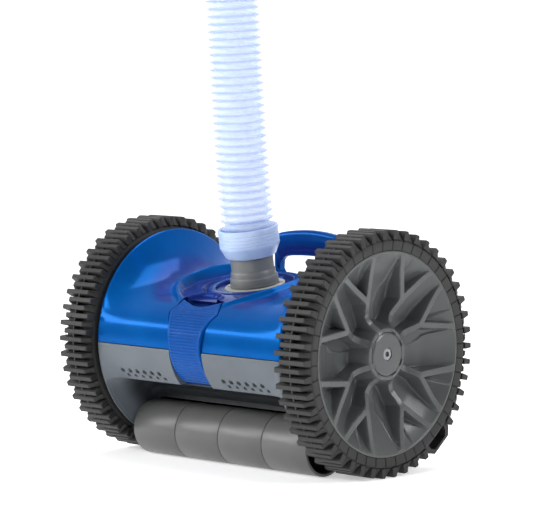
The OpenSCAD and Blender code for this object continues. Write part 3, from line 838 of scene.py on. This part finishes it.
    def fittings(self) -> None:
        """Builds the cup that holds the swivel's bush, and the cover's hinge knuckles."""
        cup = Mould().lathe([(25.5, -3.2), (25.5, -21), (22.6, -21), (22.6, -23), (30.0, -23), (31.0, -21.5),
                             (31.0, -6.0), (29.0, -4.4)], SWIVEL.place)
        y, z = middle_of("hinge_pin")
        arm = ((y - 7.5, z + 0.6), (y - 1, z + 0.6), (y - 1, z + 3.7), (y - 7.5, z + 5.2))
        for side in (-1, 1):
            knuckle = ((1.85, 19.5), (3.5, 19.5), (4.0, 20.0), (4.0, 29.0), (3.5, 29.5), (1.85, 29.5))
            cup.lathe([(r, x * side) for r, x in knuckle], about(y, z), 32)
            cup.slab(arm, (19.6 * side, 29.4 * side))
        cup.build("cover_fittings", Look(self.finishes, Finishes.cover, "cover"), sharp=30)


@dataclass
class Chassis:
    """The grey lower moulding: a front shell with vents, a roller bay, and round sides."""

    finishes: Finishes
    wall: float = 2.5
    pocket: float = 6.0
    shell_c: tuple = (-44.4, 110.0)
    shell_r: float = 52.8
    bay_r: float = 27.2
    bay_front: tuple = ((-83.2, 74.2), (-82.4, 73.5), (-78.5, 73.6), (-60, 72.0), (-46, 68.5), (-37, 63.0),
                        (-31.5, 56.0))
    underside: tuple = ((-5.0, 22.0), (-4.6, 12.4), (-3.0, 12.0), (20, 12), (48, 12), (52, 13.2),
                        (66.5, 23.2), (69, 26))
    back_r: float = 95.5
    flare_x: float = 88.0
    slot_x: float = 20.05
    mouth_half: float = 31.0
    vent_step: float = 9.4

    def outline(self) -> tuple[np.ndarray, np.ndarray]:
        """The middle section as angles below the front horizontal, in degrees, and radii."""
        points = arc(self.shell_c, self.shell_r, np.linspace(184.9, 221.0, 14))
        points += self.bay_front
        points += arc(middle_of("roller_axle"), self.bay_r, np.linspace(92, 4, 14))
        points += self.underside
        points += arc((0.0, AXLE_Z), self.back_r, np.linspace(-31, -0.9, 12))
        y, z = np.array(points).T
        below = np.degrees(np.arctan2(AXLE_Z - z, -y))
        return np.maximum.accumulate(below), np.hypot(y, z - AXLE_Z)

    def vents(self, x: np.ndarray, z: np.ndarray) -> np.ndarray:
        """Depth of the two rows of vents, each a hole with a recess that trails down and across."""
        depth = np.zeros(np.broadcast(x, z).shape)
        for first in (-88.0, 39.5):
            for i in range(6):
                for shift, up, size in ((0.0, 81.8, 1.7), (4.7, 77.6, 1.25)):
                    centre = first + shift + self.vent_step * i
                    u, v = x - centre, z - up
                    hole = 4.5 * smooth((size - np.hypot(u, v)) / 0.5 + 0.5)
                    along = (u - v) / math.sqrt(2)
                    across = (u + v) / math.sqrt(2)
                    reach = 3.2 * size
                    trail = 1.5 * smooth((size * (1 - 0.6 * along / reach) - np.abs(across)) / 0.6 + 0.5)
                    trail = trail * np.clip(1 - along / reach, 0, 1) * (along > 0)
                    depth = np.maximum(depth, np.maximum(hole, trail))
        return depth

    def build(self) -> None:
        """Builds the shell, the hinge knuckles and the ears of the latch pin."""
        below, radius = self.outline()
        top = np.degrees(np.arcsin((AXLE_Z - PART_Z + 0.2) / radius[0]))
        rows = np.concatenate([
            [top, top + 0.35], np.linspace(top + 0.7, 14, 16), np.linspace(14.3, 22.4, 30),
            np.linspace(22.8, 60, 60), np.linspace(60.6, 92, 60), np.linspace(93, 180.1, 80)])
        turn = -np.radians(rows)[:, None]
        middle = np.interp(rows, below, radius)[:, None]
        middle[0] -= 0.5
        half = np.concatenate([np.linspace(0, 20.0, 20), [20.2, 20.8], np.linspace(21.5, EDGE_X, 118)])
        x = np.concatenate([-half[:0:-1], half])[None, :]
        flare = np.clip((np.abs(x) - self.flare_x) / (EDGE_X - self.flare_x), 0, 1) ** 3.2
        r = middle + (SIDE_R - middle) * flare
        z = AXLE_Z + r * np.sin(turn)
        vented = rows[:, None] < 22
        sunk = np.where((np.abs(x) <= self.slot_x) & (rows[:, None] < 23.0), self.pocket, 0.0)
        outer = about_axle(r - self.vents(x, z) * vented - sunk, turn, x)
        inner = about_axle(r - self.wall - sunk - 2.6 * vented, turn, x * INNER_EDGE)
        outer, inner = (Cover.with_sides(p, turn, d) for p, d in ((outer, 0.0), (inner, self.wall)))
        centre = (outer[:-1, :-1] + outer[1:, 1:]) / 2
        mx, my, mz = np.moveaxis(centre, -1, 0)
        mouth = (np.abs(mx) < self.mouth_half) & (my > 4) & (my < 46) & (mz < 20)
        mould = Mould().shell(outer, inner, ~mouth)
        look = Look(self.finishes, Finishes.shell, "chassis", ("lower_chassis",))
        mould.build("chassis_shell", look, sharp=45)
        self.fittings()

    def fittings(self) -> None:
        """Builds the lower hinge knuckles and the two ears that carry the latch pin."""
        mould = Mould()
        y, z = middle_of("hinge_pin")
        knuckle = ((1.8, 30), (3.5, 30), (4, 30.5), (4, 39.5), (3.5, 40), (1.8, 40))
        arm = ((y - 7.2, z - 5.0), (y - 1, z - 3.9), (y - 1, z - 0.8), (y - 7.2, z - 0.8))
        for side in (-1, 1):
            mould.lathe([(r, x * side) for r, x in knuckle], about(y, z), 32)
            mould.slab(arm, (30.1 * side, 39.9 * side))
        y, z = middle_of("latch_pin")
        boss = ((1.5, 8.4), (3, 8.4), (3, 11.4), (1.5, 11.4))
        ear = ((y + 1.2, z - 2.7), (y + 8.5, z - 7), (y + 18, z - 12), (y + 18, z + 2), (y + 1.2, z + 2.7))
        for side in (-1, 1):
            mould.lathe([(r, x * side) for r, x in boss], about(y, z), 24)
            mould.slab(ear, (8.5 * side, 11.3 * side))
        mould.build("chassis_fittings", Look(self.finishes, Finishes.shell, "chassis"), sharp=30)


@dataclass
class Latch:
    """The ribbed strap across the parting line."""

    finishes: Finishes
    thick: float = 3.0
    pitch: float = 2.75
    groove: float = 0.55
    margin: float = 3.2

    def profile(self, steps: int) -> np.ndarray:
        """Middle line of the outer face, from the foot to the top.

        Args:
            steps: How many points it has.

        Returns:
            Evenly spaced points (y, z).
        """
        points = arc((-54.7, 112.8), 43.5, np.linspace(241.3, 170, 40))
        points += bowed(points[-1], (-94.8, 131.5), (-84.6, 139.6), 12)[1:]
        points = np.array(points + bowed(points[-1], (-79.0, 144.0), (-75.6, 148.2))[1:])
        run = run_of(points)
        even = np.linspace(0, run[-1], steps)
        return np.column_stack([np.interp(even, run, points[:, 0]), np.interp(even, run, points[:, 1])])

    def build(self) -> None:
        """Builds the strap with its grip ribs, and the block that turns on the pin."""
        line = self.profile(460)
        step = np.gradient(line, axis=0)
        step /= np.hypot(step[:, 0], step[:, 1])[:, None]
        normal = np.column_stack([-step[:, 1], step[:, 0]])
        run = run_of(line)
        across = np.linspace(-1, 1, 96)[None, :]
        half = LATCH.half(line[:, 1])[:, None]
        x = across * half
        dip = LATCH.dip * np.cos(across * math.pi / 2) ** 1.2
        length = run[-1]
        along = run[:, None] - dip * smooth((run[:, None] - length + 16.0) / 16.0)
        y, z, ny, nz = (np.interp(along, run, column) for column in (*line.T, *normal.T))
        inset = np.minimum(half - np.abs(x), np.minimum(along - 3.0, length - dip - along))
        wave = np.abs(((along / self.pitch) % 1.0) - 0.5) * self.pitch
        cut = self.groove * smooth((0.75 - wave) / 0.5) * smooth((inset - self.margin) / 0.5)
        rim = 0.9 * (1 - smooth(inset / 1.1)) ** 2
        out = 0.6 - cut - rim
        outer = np.stack([x, y + ny * out, z + nz * out], axis=-1)
        inner = np.stack([x, y - ny * self.thick, z - nz * self.thick], axis=-1)
        mould = Mould().shell(outer, inner)
        py, pz = middle_of("latch_pin")
        mould.lathe([(1.6, -8), (3.2, -8), (3.2, 8), (1.6, 8)], about(py, pz), 32)
        block = ((py - 1.0, pz - 3.0), (py - 4.5, pz - 3.0), (py - 8.5, pz + 1.5), (py - 7.5, pz + 5.5),
                 (py - 1.0, pz + 3.0))
        mould.slab(block, (-7.9, 7.9))
        mould.build("latch_strap", Look(self.finishes, Finishes.latch, "latch", ("latch",)), sharp=40)


@dataclass
class Handle:
    """The carry handle: a broad bowed bar on two legs."""

    finishes: Finishes
    y: float = 61.8
    deep: float = 4.4
    outer: tuple = ((-42.2, 146), (-42.2, 165), (-42.1, 183), (-41.7, 192), (-40.4, 197.0), (-36.8, 199.8),
                    (-28, 201.6), (-14, 203.2), (0, 203.8))
    inner: tuple = ((-30.6, 146), (-30.8, 159), (-35.8, 165), (-35.2, 173), (-31.2, 177.4), (-24.6, 179.3),
                    (-15, 180.0), (-7, 180.3), (0, 180.4))

    def build(self) -> None:
        """Builds the handle by carrying a rounded section round the loop, with a recess for the fingers."""
        edges = []
        for line in (self.outer, self.inner):
            whole = list(line) + [(-x, z) for x, z in line[-2::-1]]
            run = np.arange(len(whole), dtype=float)
            fine = np.linspace(0, run[-1], 128)
            edges.append([eased(fine, list(zip(run, column))) for column in zip(*whole)])
        (ox, oz), (ix, iz) = edges
        turn = all_round(64)[0]
        c, s = np.cos(turn), np.sin(turn)
        across = (np.sign(c) * np.abs(c) ** 0.4)[None, :]
        out = np.sign(s) * np.abs(s) ** 0.45
        wide = smooth((np.hypot(ox - ix, oz - iz)[:, None] - 12.0) / 8.0)
        grip = smooth((0.02 - across) / 0.1) * smooth((across + 0.93) / 0.1) * (s < -0.2)
        y = self.y + self.deep * out[None, :] + 2.2 * grip * wide
        half = (across + 1.0) / 2.0
        points = np.stack([ix[:, None] + (ox - ix)[:, None] * half, y + 0 * half,
                           iz[:, None] + (oz - iz)[:, None] * half], axis=-1)
        look = Look(self.finishes, Finishes.cover, "cover", ("carry_handle",))
        loop = Mould().loft(points).build("handle_loop", look, sharp=60)
        # painted shade: the whole handle a little towards deep blue, and its finger recess much more
        store(loop.data, "depth", 0.3 + 0.7 * grip * wide)


@dataclass
class Wheel:
    """One wheel: a dished disc with eight forked ribs and a hub."""

    finishes: Finishes
    side: int
    dish: tuple = ((23.6, 129), (40, 129.3), (58, 133.5), (70, 139.5), (78, 144), (84, 148.5), (86.4, 150.6))
    crown: tuple = ((20, 150), (25, 146), (30, 141.5), (36, 140), (44, 143.5), (52, 147), (70, 148.6),
                    (86, 150.8))
    half_rib: float = 2.5
    rib_slope: float = 6.0
    fillet: float = 1.6
    fold_width: float = 0.8
    hub_r: float = 22.4
    hub_x: float = 149.0
    outer_x: float = 151.4
    stem: tuple = ((20, 19.5), (51, 19.5))
    inner_arm: tuple = ((51, 19.5), (66, 12), (88, 6))
    outer_arm: tuple = ((51, 19.5), (66, 27), (88, 33))
    fold: tuple = ((60, 20), (87, 23))
    back: tuple = ((19, 127), (40, 127), (60, 130.5), (76, 139), (82, 144), (87, 146.5))
    bore: tuple = ((11.0, 124.0), (11.0, 140.0), (11.5, 140.0), (11.5, 144.6), (18.9, 144.6), (19.1, 148.5))
    rim: tuple = ((87.0, 151.2), (87.4, 151.4), (88.7, 151.4), (89.0, 151.1), (89.0, 119.3), (88.7, 119.0),
                  (84.3, 119.0), (84.0, 119.3), (83.6, 143.0))
    hub: tuple = ((22.6, 121.2), (22.3, 121.0), (12.2, 121.0), (12.0, 121.2), (12.0, 124.0))

    def ribs(self, u: np.ndarray, v: np.ndarray) -> tuple[np.ndarray, np.ndarray]:
        """Distances from the middle lines of the ribs and of the fine ridges.

        Args:
            u: Distance behind the axle.
            v: Height above the axle.

        Returns:
            Distance from the nearest rib, and from the nearest ridge.
        """
        near = np.full(u.shape, 1e9)
        fine = np.full(u.shape, 1e9)
        for diagonal in (45, 135, 225, 315):
            for s in (-1, 1):
                for line in (self.stem, self.inner_arm, self.outer_arm):
                    near = np.minimum(near, off_line(u, v, self.polar(line, diagonal, s)))
                fine = np.minimum(fine, off_line(u, v, self.polar(self.fold, diagonal, s)))
        for turn in (0, 90, 180, 270):
            c, k = math.cos(math.radians(turn)), math.sin(math.radians(turn))
            bend = -1 if turn in (90, 180) else 1
            line = bowed((26, 3 * bend), (54, 2 * bend), (60, 10 * bend))
            line += bowed((60, 10 * bend), (68, 14 * bend), (87, 15 * bend))[1:]
            fine = np.minimum(fine, off_line(u, v, [(c * a - k * b, k * a + c * b) for a, b in line]))
        return near, fine

    @staticmethod
    def polar(points: Table, middle: float, side: int) -> Table:
        """Points given as radius and degrees to one side of a middle angle, as (u, v)."""
        turns = [(r, math.radians(middle + a * side)) for r, a in points]
        return [(r * math.cos(a), r * math.sin(a)) for r, a in turns]

    def face(self, radius: np.ndarray, turn: np.ndarray) -> np.ndarray:
        """Distance of the outer face from the middle of the cleaner.

        Args:
            radius: Distance from the axle.
            turn: Angle about the axle, from the rear upwards.

        Returns:
            The distance across at each point.
        """
        u, v = radius * np.cos(turn), radius * np.sin(turn)
        near, fine = self.ribs(u, v)
        ground = eased(radius, self.dish) + np.exp(-(fine / self.fold_width) ** 2)
        soft = 1.0 - 0.62 * smooth((40.0 - radius) / 14.0)
        rib = eased(radius, self.crown) - self.rib_slope * soft * np.maximum(near - self.half_rib, 0) ** 1.2
        rib = np.where(near > 8, ground - 30, rib)  # far from a rib there is only the dish
        made = higher(ground, rib, self.fillet)
        ring = self.hub_x - 2.2 * np.maximum(radius - self.hub_r, 0) ** 1.2
        return np.minimum(higher(made, ring, 1.2), self.outer_x)

    def build(self) -> None:
        """Builds the wheel's disc, rim and hub."""
        turn = all_round(720)
        radius = np.concatenate([np.linspace(19.2, 30, 24), np.linspace(30.8, 86.4, 78)])[:, None]
        face = self.face(radius + 0 * turn, turn + 0 * radius)
        face[0] = self.hub_x
        back = np.minimum(face - 2.4, eased(radius, self.back))
        rows = [self.ring(self.bore, turn), on_axle(radius, turn, face), self.ring(self.rim, turn),
                on_axle(radius[::-3], turn, back[::-3]), self.ring(self.hub, turn)]
        look = Look(self.finishes, Finishes.wheel, hand(self.side) + "_wheel", ("wheel_" + hand(self.side),))
        Mould().grid(np.concatenate(rows) * (self.side, 1, 1), round_rows=True, round_cols=True).build(
            f"wheel_{hand(self.side)}_disc", look, sharp=50)

    @staticmethod
    def ring(profile: Table, turn: np.ndarray) -> np.ndarray:
        """Round rows of points, one for each (radius, distance across) pair."""
        radius, x = np.array(profile, float).T[:, :, None]
        return on_axle(radius, turn, x)


@dataclass
class Tyre:
    """One rubber tyre with two rows of staggered bars and a hollow hump."""

    finishes: Finishes
    side: int
    bars: int = 92
    inner_x: float = 117.4
    outer_x: float = 152.8
    tread_r: float = 107.0
    base_r: float = 99.4
    hump_at: float = math.radians(-50)
    hump_half: float = math.radians(9.0)
    far_end: tuple = ((0.9, 0.04), (1.2, 0.1), (6.0, 0.94), (6.6, 1.0))

    def carcass(self, mould: Mould) -> None:
        """Adds the band, grooved across its outer side every two bars, and the rib round the tread.

        Args:
            mould: Where they go.
        """
        steps = self.bars * 8
        turn = all_round(steps)
        profile = [(89.0, 118.6), (89.2, 118.4), (95.8, 118.4), (97.0, 119.0), (99.3, 121.4), (99.4, 122.0),
                   (99.4, 149.4), (99.0, 150.4), (97.6, 151.9), (96.8, 152.2), (95.8, 152.2), (94.0, 152.0),
                   (90.2, 151.5), (89.7, 151.3), (89.4, 150.9), (89.0, 150.6)]
        groove = np.zeros(steps)
        groove[3::16] = 0.9
        rows = []
        for radius, x in profile:
            cut = groove if (x > 150.8 and 89.6 < radius < 98) else np.zeros(steps)
            rows.append(self.place(radius, turn, x - cut[None, :]))
        mould.grid(np.concatenate(rows), round_rows=True, round_cols=True)
        middle = (self.inner_x + self.outer_x) / 2
        rib = [(99.0, middle - 1.0), (105.9, middle - 0.8), (106.3, middle - 0.5), (106.3, middle + 0.5),
               (105.9, middle + 0.8), (99.0, middle + 1.0)]
        mould.lathe(rib, self.place, steps=368)

    def place(self, radius: np.ndarray, turn: np.ndarray, x: np.ndarray) -> np.ndarray:
        """Points at a radius about the axle, on this tyre's side."""
        return on_axle(radius, turn, x) * (self.side, 1, 1)

    def bar(self, mould: Mould, at: float, stations: Table) -> None:
        """Adds one bar.

        Args:
            mould: Where it goes.
            at: Its angle about the axle, from the rear upwards.
            stations: (distance along the axle, share of the full height) pairs.
        """
        section = np.array([(-2.75, 0.0), (-2.2, 0.9), (-1.75, 1.0), (1.75, 1.0), (2.2, 0.9), (2.75, 0.0)])
        low = self.base_r - 0.6
        rows = []
        for x, share in stations:
            radius = low + (self.tread_r - low) * section[:, 1] * share
            turn = at + section[:, 0] / radius
            rows.append(self.place(radius, turn, x))
        mould.loft(np.array(rows))

    def hump(self, mould: Mould) -> None:
        """Adds the hollow hump that rocks the cleaner once a turn.

        Args:
            mould: Where it goes.
        """
        outer = [(98.6, -10.5), (106.5, -9.2), (112.0, -5.9), (112.0, 5.9), (106.5, 9.2), (98.6, 10.5)]
        inner = [(100.4, -7.2), (105.6, -6.5), (109.2, -4.2), (109.2, 4.2), (105.6, 6.5), (100.4, 7.2)]
        ends = (self.inner_x + 6.0, self.outer_x - 3.4)
        rings = []
        for line, x in ((outer, ends[0]), (outer, ends[1]), (inner, ends[1]), (inner, ends[0])):
            radius, off = np.array(line).T
            rings.append(self.place(radius, self.hump_at + np.radians(off), x))
        mould.grid(np.array(rings), round_rows=True, round_cols=True)

    def build(self) -> None:
        """Builds the tyre."""
        mould = Mould()
        self.carcass(mould)
        a, b = self.inner_x, self.outer_x
        outer_row = [(a + off, share) for off, share in self.far_end] + [(b - 0.6, 1.0), (b, 0.93)]
        inner_row = [(a, 0.93), (a + 0.6, 1.0)] + [(b - off, share) for off, share in self.far_end[::-1]]
        for i in range(self.bars):
            at = FULL_TURN * i / self.bars
            off = (at - self.hump_at + math.pi) % FULL_TURN - math.pi
            if abs(off) < self.hump_half:
                continue
            self.bar(mould, at, inner_row if i % 2 else outer_row)
        self.hump(mould)
        look = Look(self.finishes, Finishes.tyre, hand(self.side) + "_wheel", ("tyre_" + hand(self.side),))
        mould.build(f"tyre_{hand(self.side)}_tread", look, sharp=35)


@dataclass
class Roller:
    """The front roller, in four segments that turn on one axle."""

    finishes: Finishes
    radius: float = 25.2
    length: float = 53.6
    starts: tuple = (-107.8, -53.8, 0.2, 54.2)

    def build(self) -> None:
        """Builds the four segments."""
        end = self.length
        r = self.radius
        profile = [(4.1, 0), (7, 0), (7, 5), (22.6, 5), (22.6, 1.2), (23.4, 0.1), (23.8, 0), (r - 0.7, 0),
                   (r - 0.2, 0.2), (r, 0.7), (r, end - 0.7), (r - 0.2, end - 0.2), (r - 0.7, end),
                   (22.9, end), (22.6, end - 0.3), (22.6, 8), (7, 8), (7, end), (4.1, end)]
        for i, start in enumerate(self.starts):
            line = [(radius, x + start) for radius, x in profile]
            look = Look(self.finishes, Finishes.roller, "roller_" + "abcd"[i], (f"roller_{i + 1}",))
            Mould().lathe(line, about(*middle_of("roller_axle")), 128).build(
                f"roller_segment_{i + 1}", look, sharp=35)


@dataclass
class Swivel:
    """The grey tube that turns in the cover, and its ring; the two cuffs of the hose, which ride on the
    swivel too, are built with the hose.
    """

    finishes: Finishes
    notches: tuple = (math.radians(35), math.radians(215))

    def build(self) -> None:
        """Builds the tube and the ring."""
        tube = [(16.5, -20.9), (20.6, -20.9), (21, -20.5), (21, -9.2), (24.7, -9.2), (25, -8.9), (25, -4.6),
                (24.7, -4.3), (21.6, -4.3), (21.5, 1.0), (21.9, 1.2), (21.9, 2.0), (21.5, 2.2), (21.4, 7.4),
                (21.1, 8.0), (20.4, 8.6), (20.2, 9.2), (20.1, 12.6), (19.7, 13.4), (19.3, 14.2), (19.15, 15),
                (19.15, 32.6), (18.8, 33), (16.8, 33), (16.5, 32.7)]
        Mould().lathe(tube, SWIVEL.place, 128).build(
            "swivel_tube_turned", Look(self.finishes, Finishes.tube, "swivel", ("swivel_tube",)), sharp=32)
        turn = all_round(240)
        rows = []
        profile = [(21.8, -4.0), (21.8, -0.3), (22.1, 0.0), (23.6, 0.0), (24.4, 0.0), (24.9, 0.0),
                   (26.4, 0.0), (26.9, -0.2), (27.0, -0.6), (27.0, -4.0)]
        for radius, up in profile:
            level = np.full_like(turn, up)
            for notch in self.notches:
                off = np.abs((turn - notch + math.pi) % FULL_TURN - math.pi) * 23.0
                if radius < 24.6 and up > -1:
                    level = np.where(off < 1.6, -1.7, level)
            rows.append(SWIVEL.place(radius, turn, level))
        Mould().grid(np.concatenate(rows), round_rows=True, round_cols=True).build(
            "swivel_ring_turned", Look(self.finishes, Finishes.ring, "cover", ("swivel_ring",)), sharp=35)


@dataclass
class Hose:
    """The corrugated hose with a soft cuff at each end."""

    finishes: Finishes
    route: tuple = (
        (-15.9, 191.5), (-19, 210), (-22, 230), (-24.5, 250), (-26.5, 270), (-28.4, 290), (-30.2, 310),
        (-31.9, 330), (-33.5, 350), (-35, 370), (-36.5, 390), (-38, 410), (-39.3, 430), (-40.6, 450),
        (-41.8, 470), (-43, 490),
    )
    crest: float = 24.25
    valley: float = 20.0
    pitch: float = 6.7
    wall: float = 1.0
    rows_per_wave: int = 10
    start_up: float = 26.4

    def cuff(self, foot: float, socket: float) -> Table:
        """Profile of a cuff: a neck that holds a spigot, and a socket for the hose.

        Args:
            foot: Length of the neck.
            socket: Depth of the socket.

        Returns:
            (radius, height) pairs.
        """
        top = foot + socket
        outer = [(21.2, 0), (21.8, 0.2), (22.5, 0.8)]
        outer += [(22.5 + 4.3 * i / 12, 0.8 + (foot + 2.2) * i / 12) for i in range(1, 12)]
        outer += [(26.8, foot + 3)]
        for k in range(int((socket - 7) / 3)):
            up = foot + 5 + 3 * k
            outer += [(26.85, up), (26.45, up + 0.5), (26.85, up + 1.0)]
        return outer + [(27, top - 0.8), (26.7, top - 0.2), (26.2, top), (24.8, top), (24.4, top - 0.3),
                        (24.4, foot + 0.4), (24.0, foot), (19.6, foot), (19.2, foot - 0.4), (19.2, 0.4),
                        (19.6, 0)]

    def build_cuffs(self) -> bpy.types.Object:
        """Builds both cuffs, and returns the upper one."""
        lower = [(r, up + self.start_up) for r, up in self.cuff(6.6, 19.6)]
        Mould().lathe(lower, SWIVEL.place).build(
            "hose_lower_cuff", Look(self.finishes, Finishes.cuff, "swivel", ("lower_cuff",)), sharp=30)
        end, before = self.route[-1], self.route[-2]
        lean = math.atan2(before[0] - end[0], end[1] - before[1])
        top = SwivelAxis(end[0] - 26.0 * math.sin(lean), end[1] + 26.0 * math.cos(lean), lean)
        upper = [(r, -up) for r, up in self.cuff(26, 18)]
        return Mould().lathe(upper, top.place).build(
            "hose_upper_cuff", Look(self.finishes, Finishes.cuff, "swivel", ("upper_cuff",)), sharp=30)

    def build(self) -> None:
        upper = self.build_cuffs()
        points = np.array(self.route)
        run = run_of(points)
        length = run[-1]
        waves = int(round(length / self.pitch))
        s = np.linspace(0, length, waves * self.rows_per_wave + 1)
        y, z = (eased(s, list(zip(run, column))) for column in points.T)
        dy, dz = np.gradient(y), np.gradient(z)
        size = np.hypot(dy, dz)
        wave = np.abs(((s / length * waves) % 1.0) - 0.5) * 2
        radius = self.valley + (self.crest - self.valley) * wave ** 1.7
        turn = all_round(96)
        there_and_back = np.concatenate([np.arange(s.size), np.arange(s.size)[::-1]])
        radius = np.concatenate([radius, radius[::-1] - self.wall])[:, None]
        cy, cz, ny, nz = (column[there_and_back, None] for column in (y, z, dz / size, -dy / size))
        across = radius * np.sin(turn)
        wall = np.stack([radius * np.cos(turn), cy + ny * across, cz + nz * across], axis=-1)
        hose = Mould().grid(wall, round_rows=True, round_cols=True).build(
            "hose_corrugated", Look(self.finishes, Finishes.hose, "swivel", ("hose",)), sharp=80)
        # the ridge value sets where the painted crest shade falls
        store(hose.data, "ridge", np.repeat(wave[there_and_back], turn.size))


@dataclass
class Studio:
    """A pale floor, soft lights and the camera."""

    camera_at: tuple = (1.7992, -1.8333, 0.3786)
    pitch: float = math.radians(90 - 4.49)
    yaw: float = math.radians(44.39)
    lens: float = 195.16
    aim: tuple = (0.0, 0.0, 0.1)
    white: tuple = (1.0, 1.0, 1.0, 1.0)
    paper: tuple = (0.93, 0.93, 0.93, 1.0)
    reach: float = 9.0
    floor_end: float = 2.5
    bend_r: float = 2.0
    bend_at: float = 6.0
    top_z: float = 8.0
    dark_sky: tuple = (0.1, 0.105, 0.11, 1.0)
    bright_way: tuple = (-0.35, 0.36, 0.3)

    def camera(self) -> None:
        """Places the camera."""
        data = bpy.data.cameras.new("camera")
        data.lens = self.lens
        data.sensor_width = 36.0
        data.clip_end = 30.0
        eye = linked("camera", data)
        eye.location = self.camera_at
        eye.rotation_euler = (self.pitch, 0.0, self.yaw)
        bpy.context.scene.camera = eye

    def light(self, name: str, at: Sequence[float], size: tuple[float, float], power: float) -> None:
        """Adds one soft light that points at the cleaner.

        Args:
            name: Its name.
            at: Its place.
            size: Its width and height in metres.
            power: Its power in watts.
        """
        data = bpy.data.lights.new(name, "AREA")
        data.shape = "RECTANGLE"
        data.size, data.size_y = size
        data.energy = power
        lamp = linked(name, data)
        lamp.location = at
        lamp.rotation_euler = (Vector(self.aim) - Vector(at)).to_track_quat("-Z", "Y").to_euler()

    def sheet(self, name: str, line: Table, glow: float) -> None:
        """Lays one white sheet across the picture.

        Args:
            name: Its name.
            line: Its line from front to back, as (depth, height) pairs in metres.
            glow: How much light it gives off by itself.
        """
        c, k = math.cos(self.yaw), math.sin(self.yaw)
        across = np.linspace(-self.reach, self.reach, 19)
        points = np.array([[(c * u - k * v, k * u + c * v, w) for u in across] for v, w in line])
        mesh = bpy.data.meshes.new(name)
        mesh.from_pydata(points.reshape(-1, 3).tolist(), [], Mould().grid(points).faces)
        mesh.shade_smooth()
        sheet = linked(name, mesh)
        material = bpy.data.materials.new(name + "_white")
        book = NodeBook(material)
        book.feed(book.shader, {"Base Color": self.paper, "Roughness": 0.9, "Specular IOR Level": 0.0,
                                "Emission Color": self.white, "Emission Strength": glow})
        mesh.materials.append(material)

    def floor(self) -> None:
        """Lays the floor, and a backdrop behind it that curves up."""
        r = self.bend_r
        turns = np.linspace(0.1, math.pi / 2, 10)
        bend = [(self.bend_at + r * math.sin(a), r - r * math.cos(a)) for a in turns]
        self.sheet("floor", [(-self.reach, 0.0), (self.floor_end, 0.0)], 0.43)
        line = [(self.floor_end, 0.0), (self.bend_at, 0.0), *bend, (bend[-1][0], self.top_z)]
        self.sheet("backdrop", line, 0.62)

    def sky(self) -> None:
        """Lights everything from all round, brightest from behind and dark from the front."""
        world = bpy.data.worlds.new("studio")
        book = NodeBook(world, "ShaderNodeBackground", "ShaderNodeOutputWorld")
        lit = book.vector("DOT_PRODUCT", book.place("Generated"), self.bright_way, "Value") + 0.5
        stops = {"stops": ((0.35, self.dark_sky), (0.85, self.white))}
        book.feed(book.shader, {"Color": book.sock("ShaderNodeValToRGB", stops, {0: lit}), "Strength": 0.8})
        bpy.context.scene.world = world

    def build(self) -> None:
        """Builds the studio."""
        self.floor()
        self.sky()
        self.light("strip", (-1.45, -1.4, 0.6), (1.7, 0.34), 16.0)
        self.light("key", (-0.6, -2.4, 1.5), (2.6, 0.6), 40.0)
        self.light("side", (2.3, 0.9, 1.5), (0.8, 0.8), 30.0)
        self.light("top", (-0.2, 0.5, 2.4), (1.4, 1.4), 30.0)


def main() -> None:
    """Builds the whole cleaner round the packed frame."""
    logging.basicConfig(level=logging.INFO, format="%(name)s: %(message)s")
    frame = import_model()
    bpy.context.scene.view_settings.view_transform = "Standard"
    studio = Studio()
    studio.camera()
    finishes = Finishes()
    finishes.dress_nodes(frame)
    Hose(finishes).build()
    Cover(finishes).build()
    Chassis(finishes).build()
    Latch(finishes).build()
    Handle(finishes).build()
    for side in (1, -1):
        Wheel(finishes, side).build()
        Tyre(finishes, side).build()
    Roller(finishes).build()
    Swivel(finishes).build()
    studio.build()
    LOG.info("pool cleaner built")


if __name__ == "__main__":
    main()
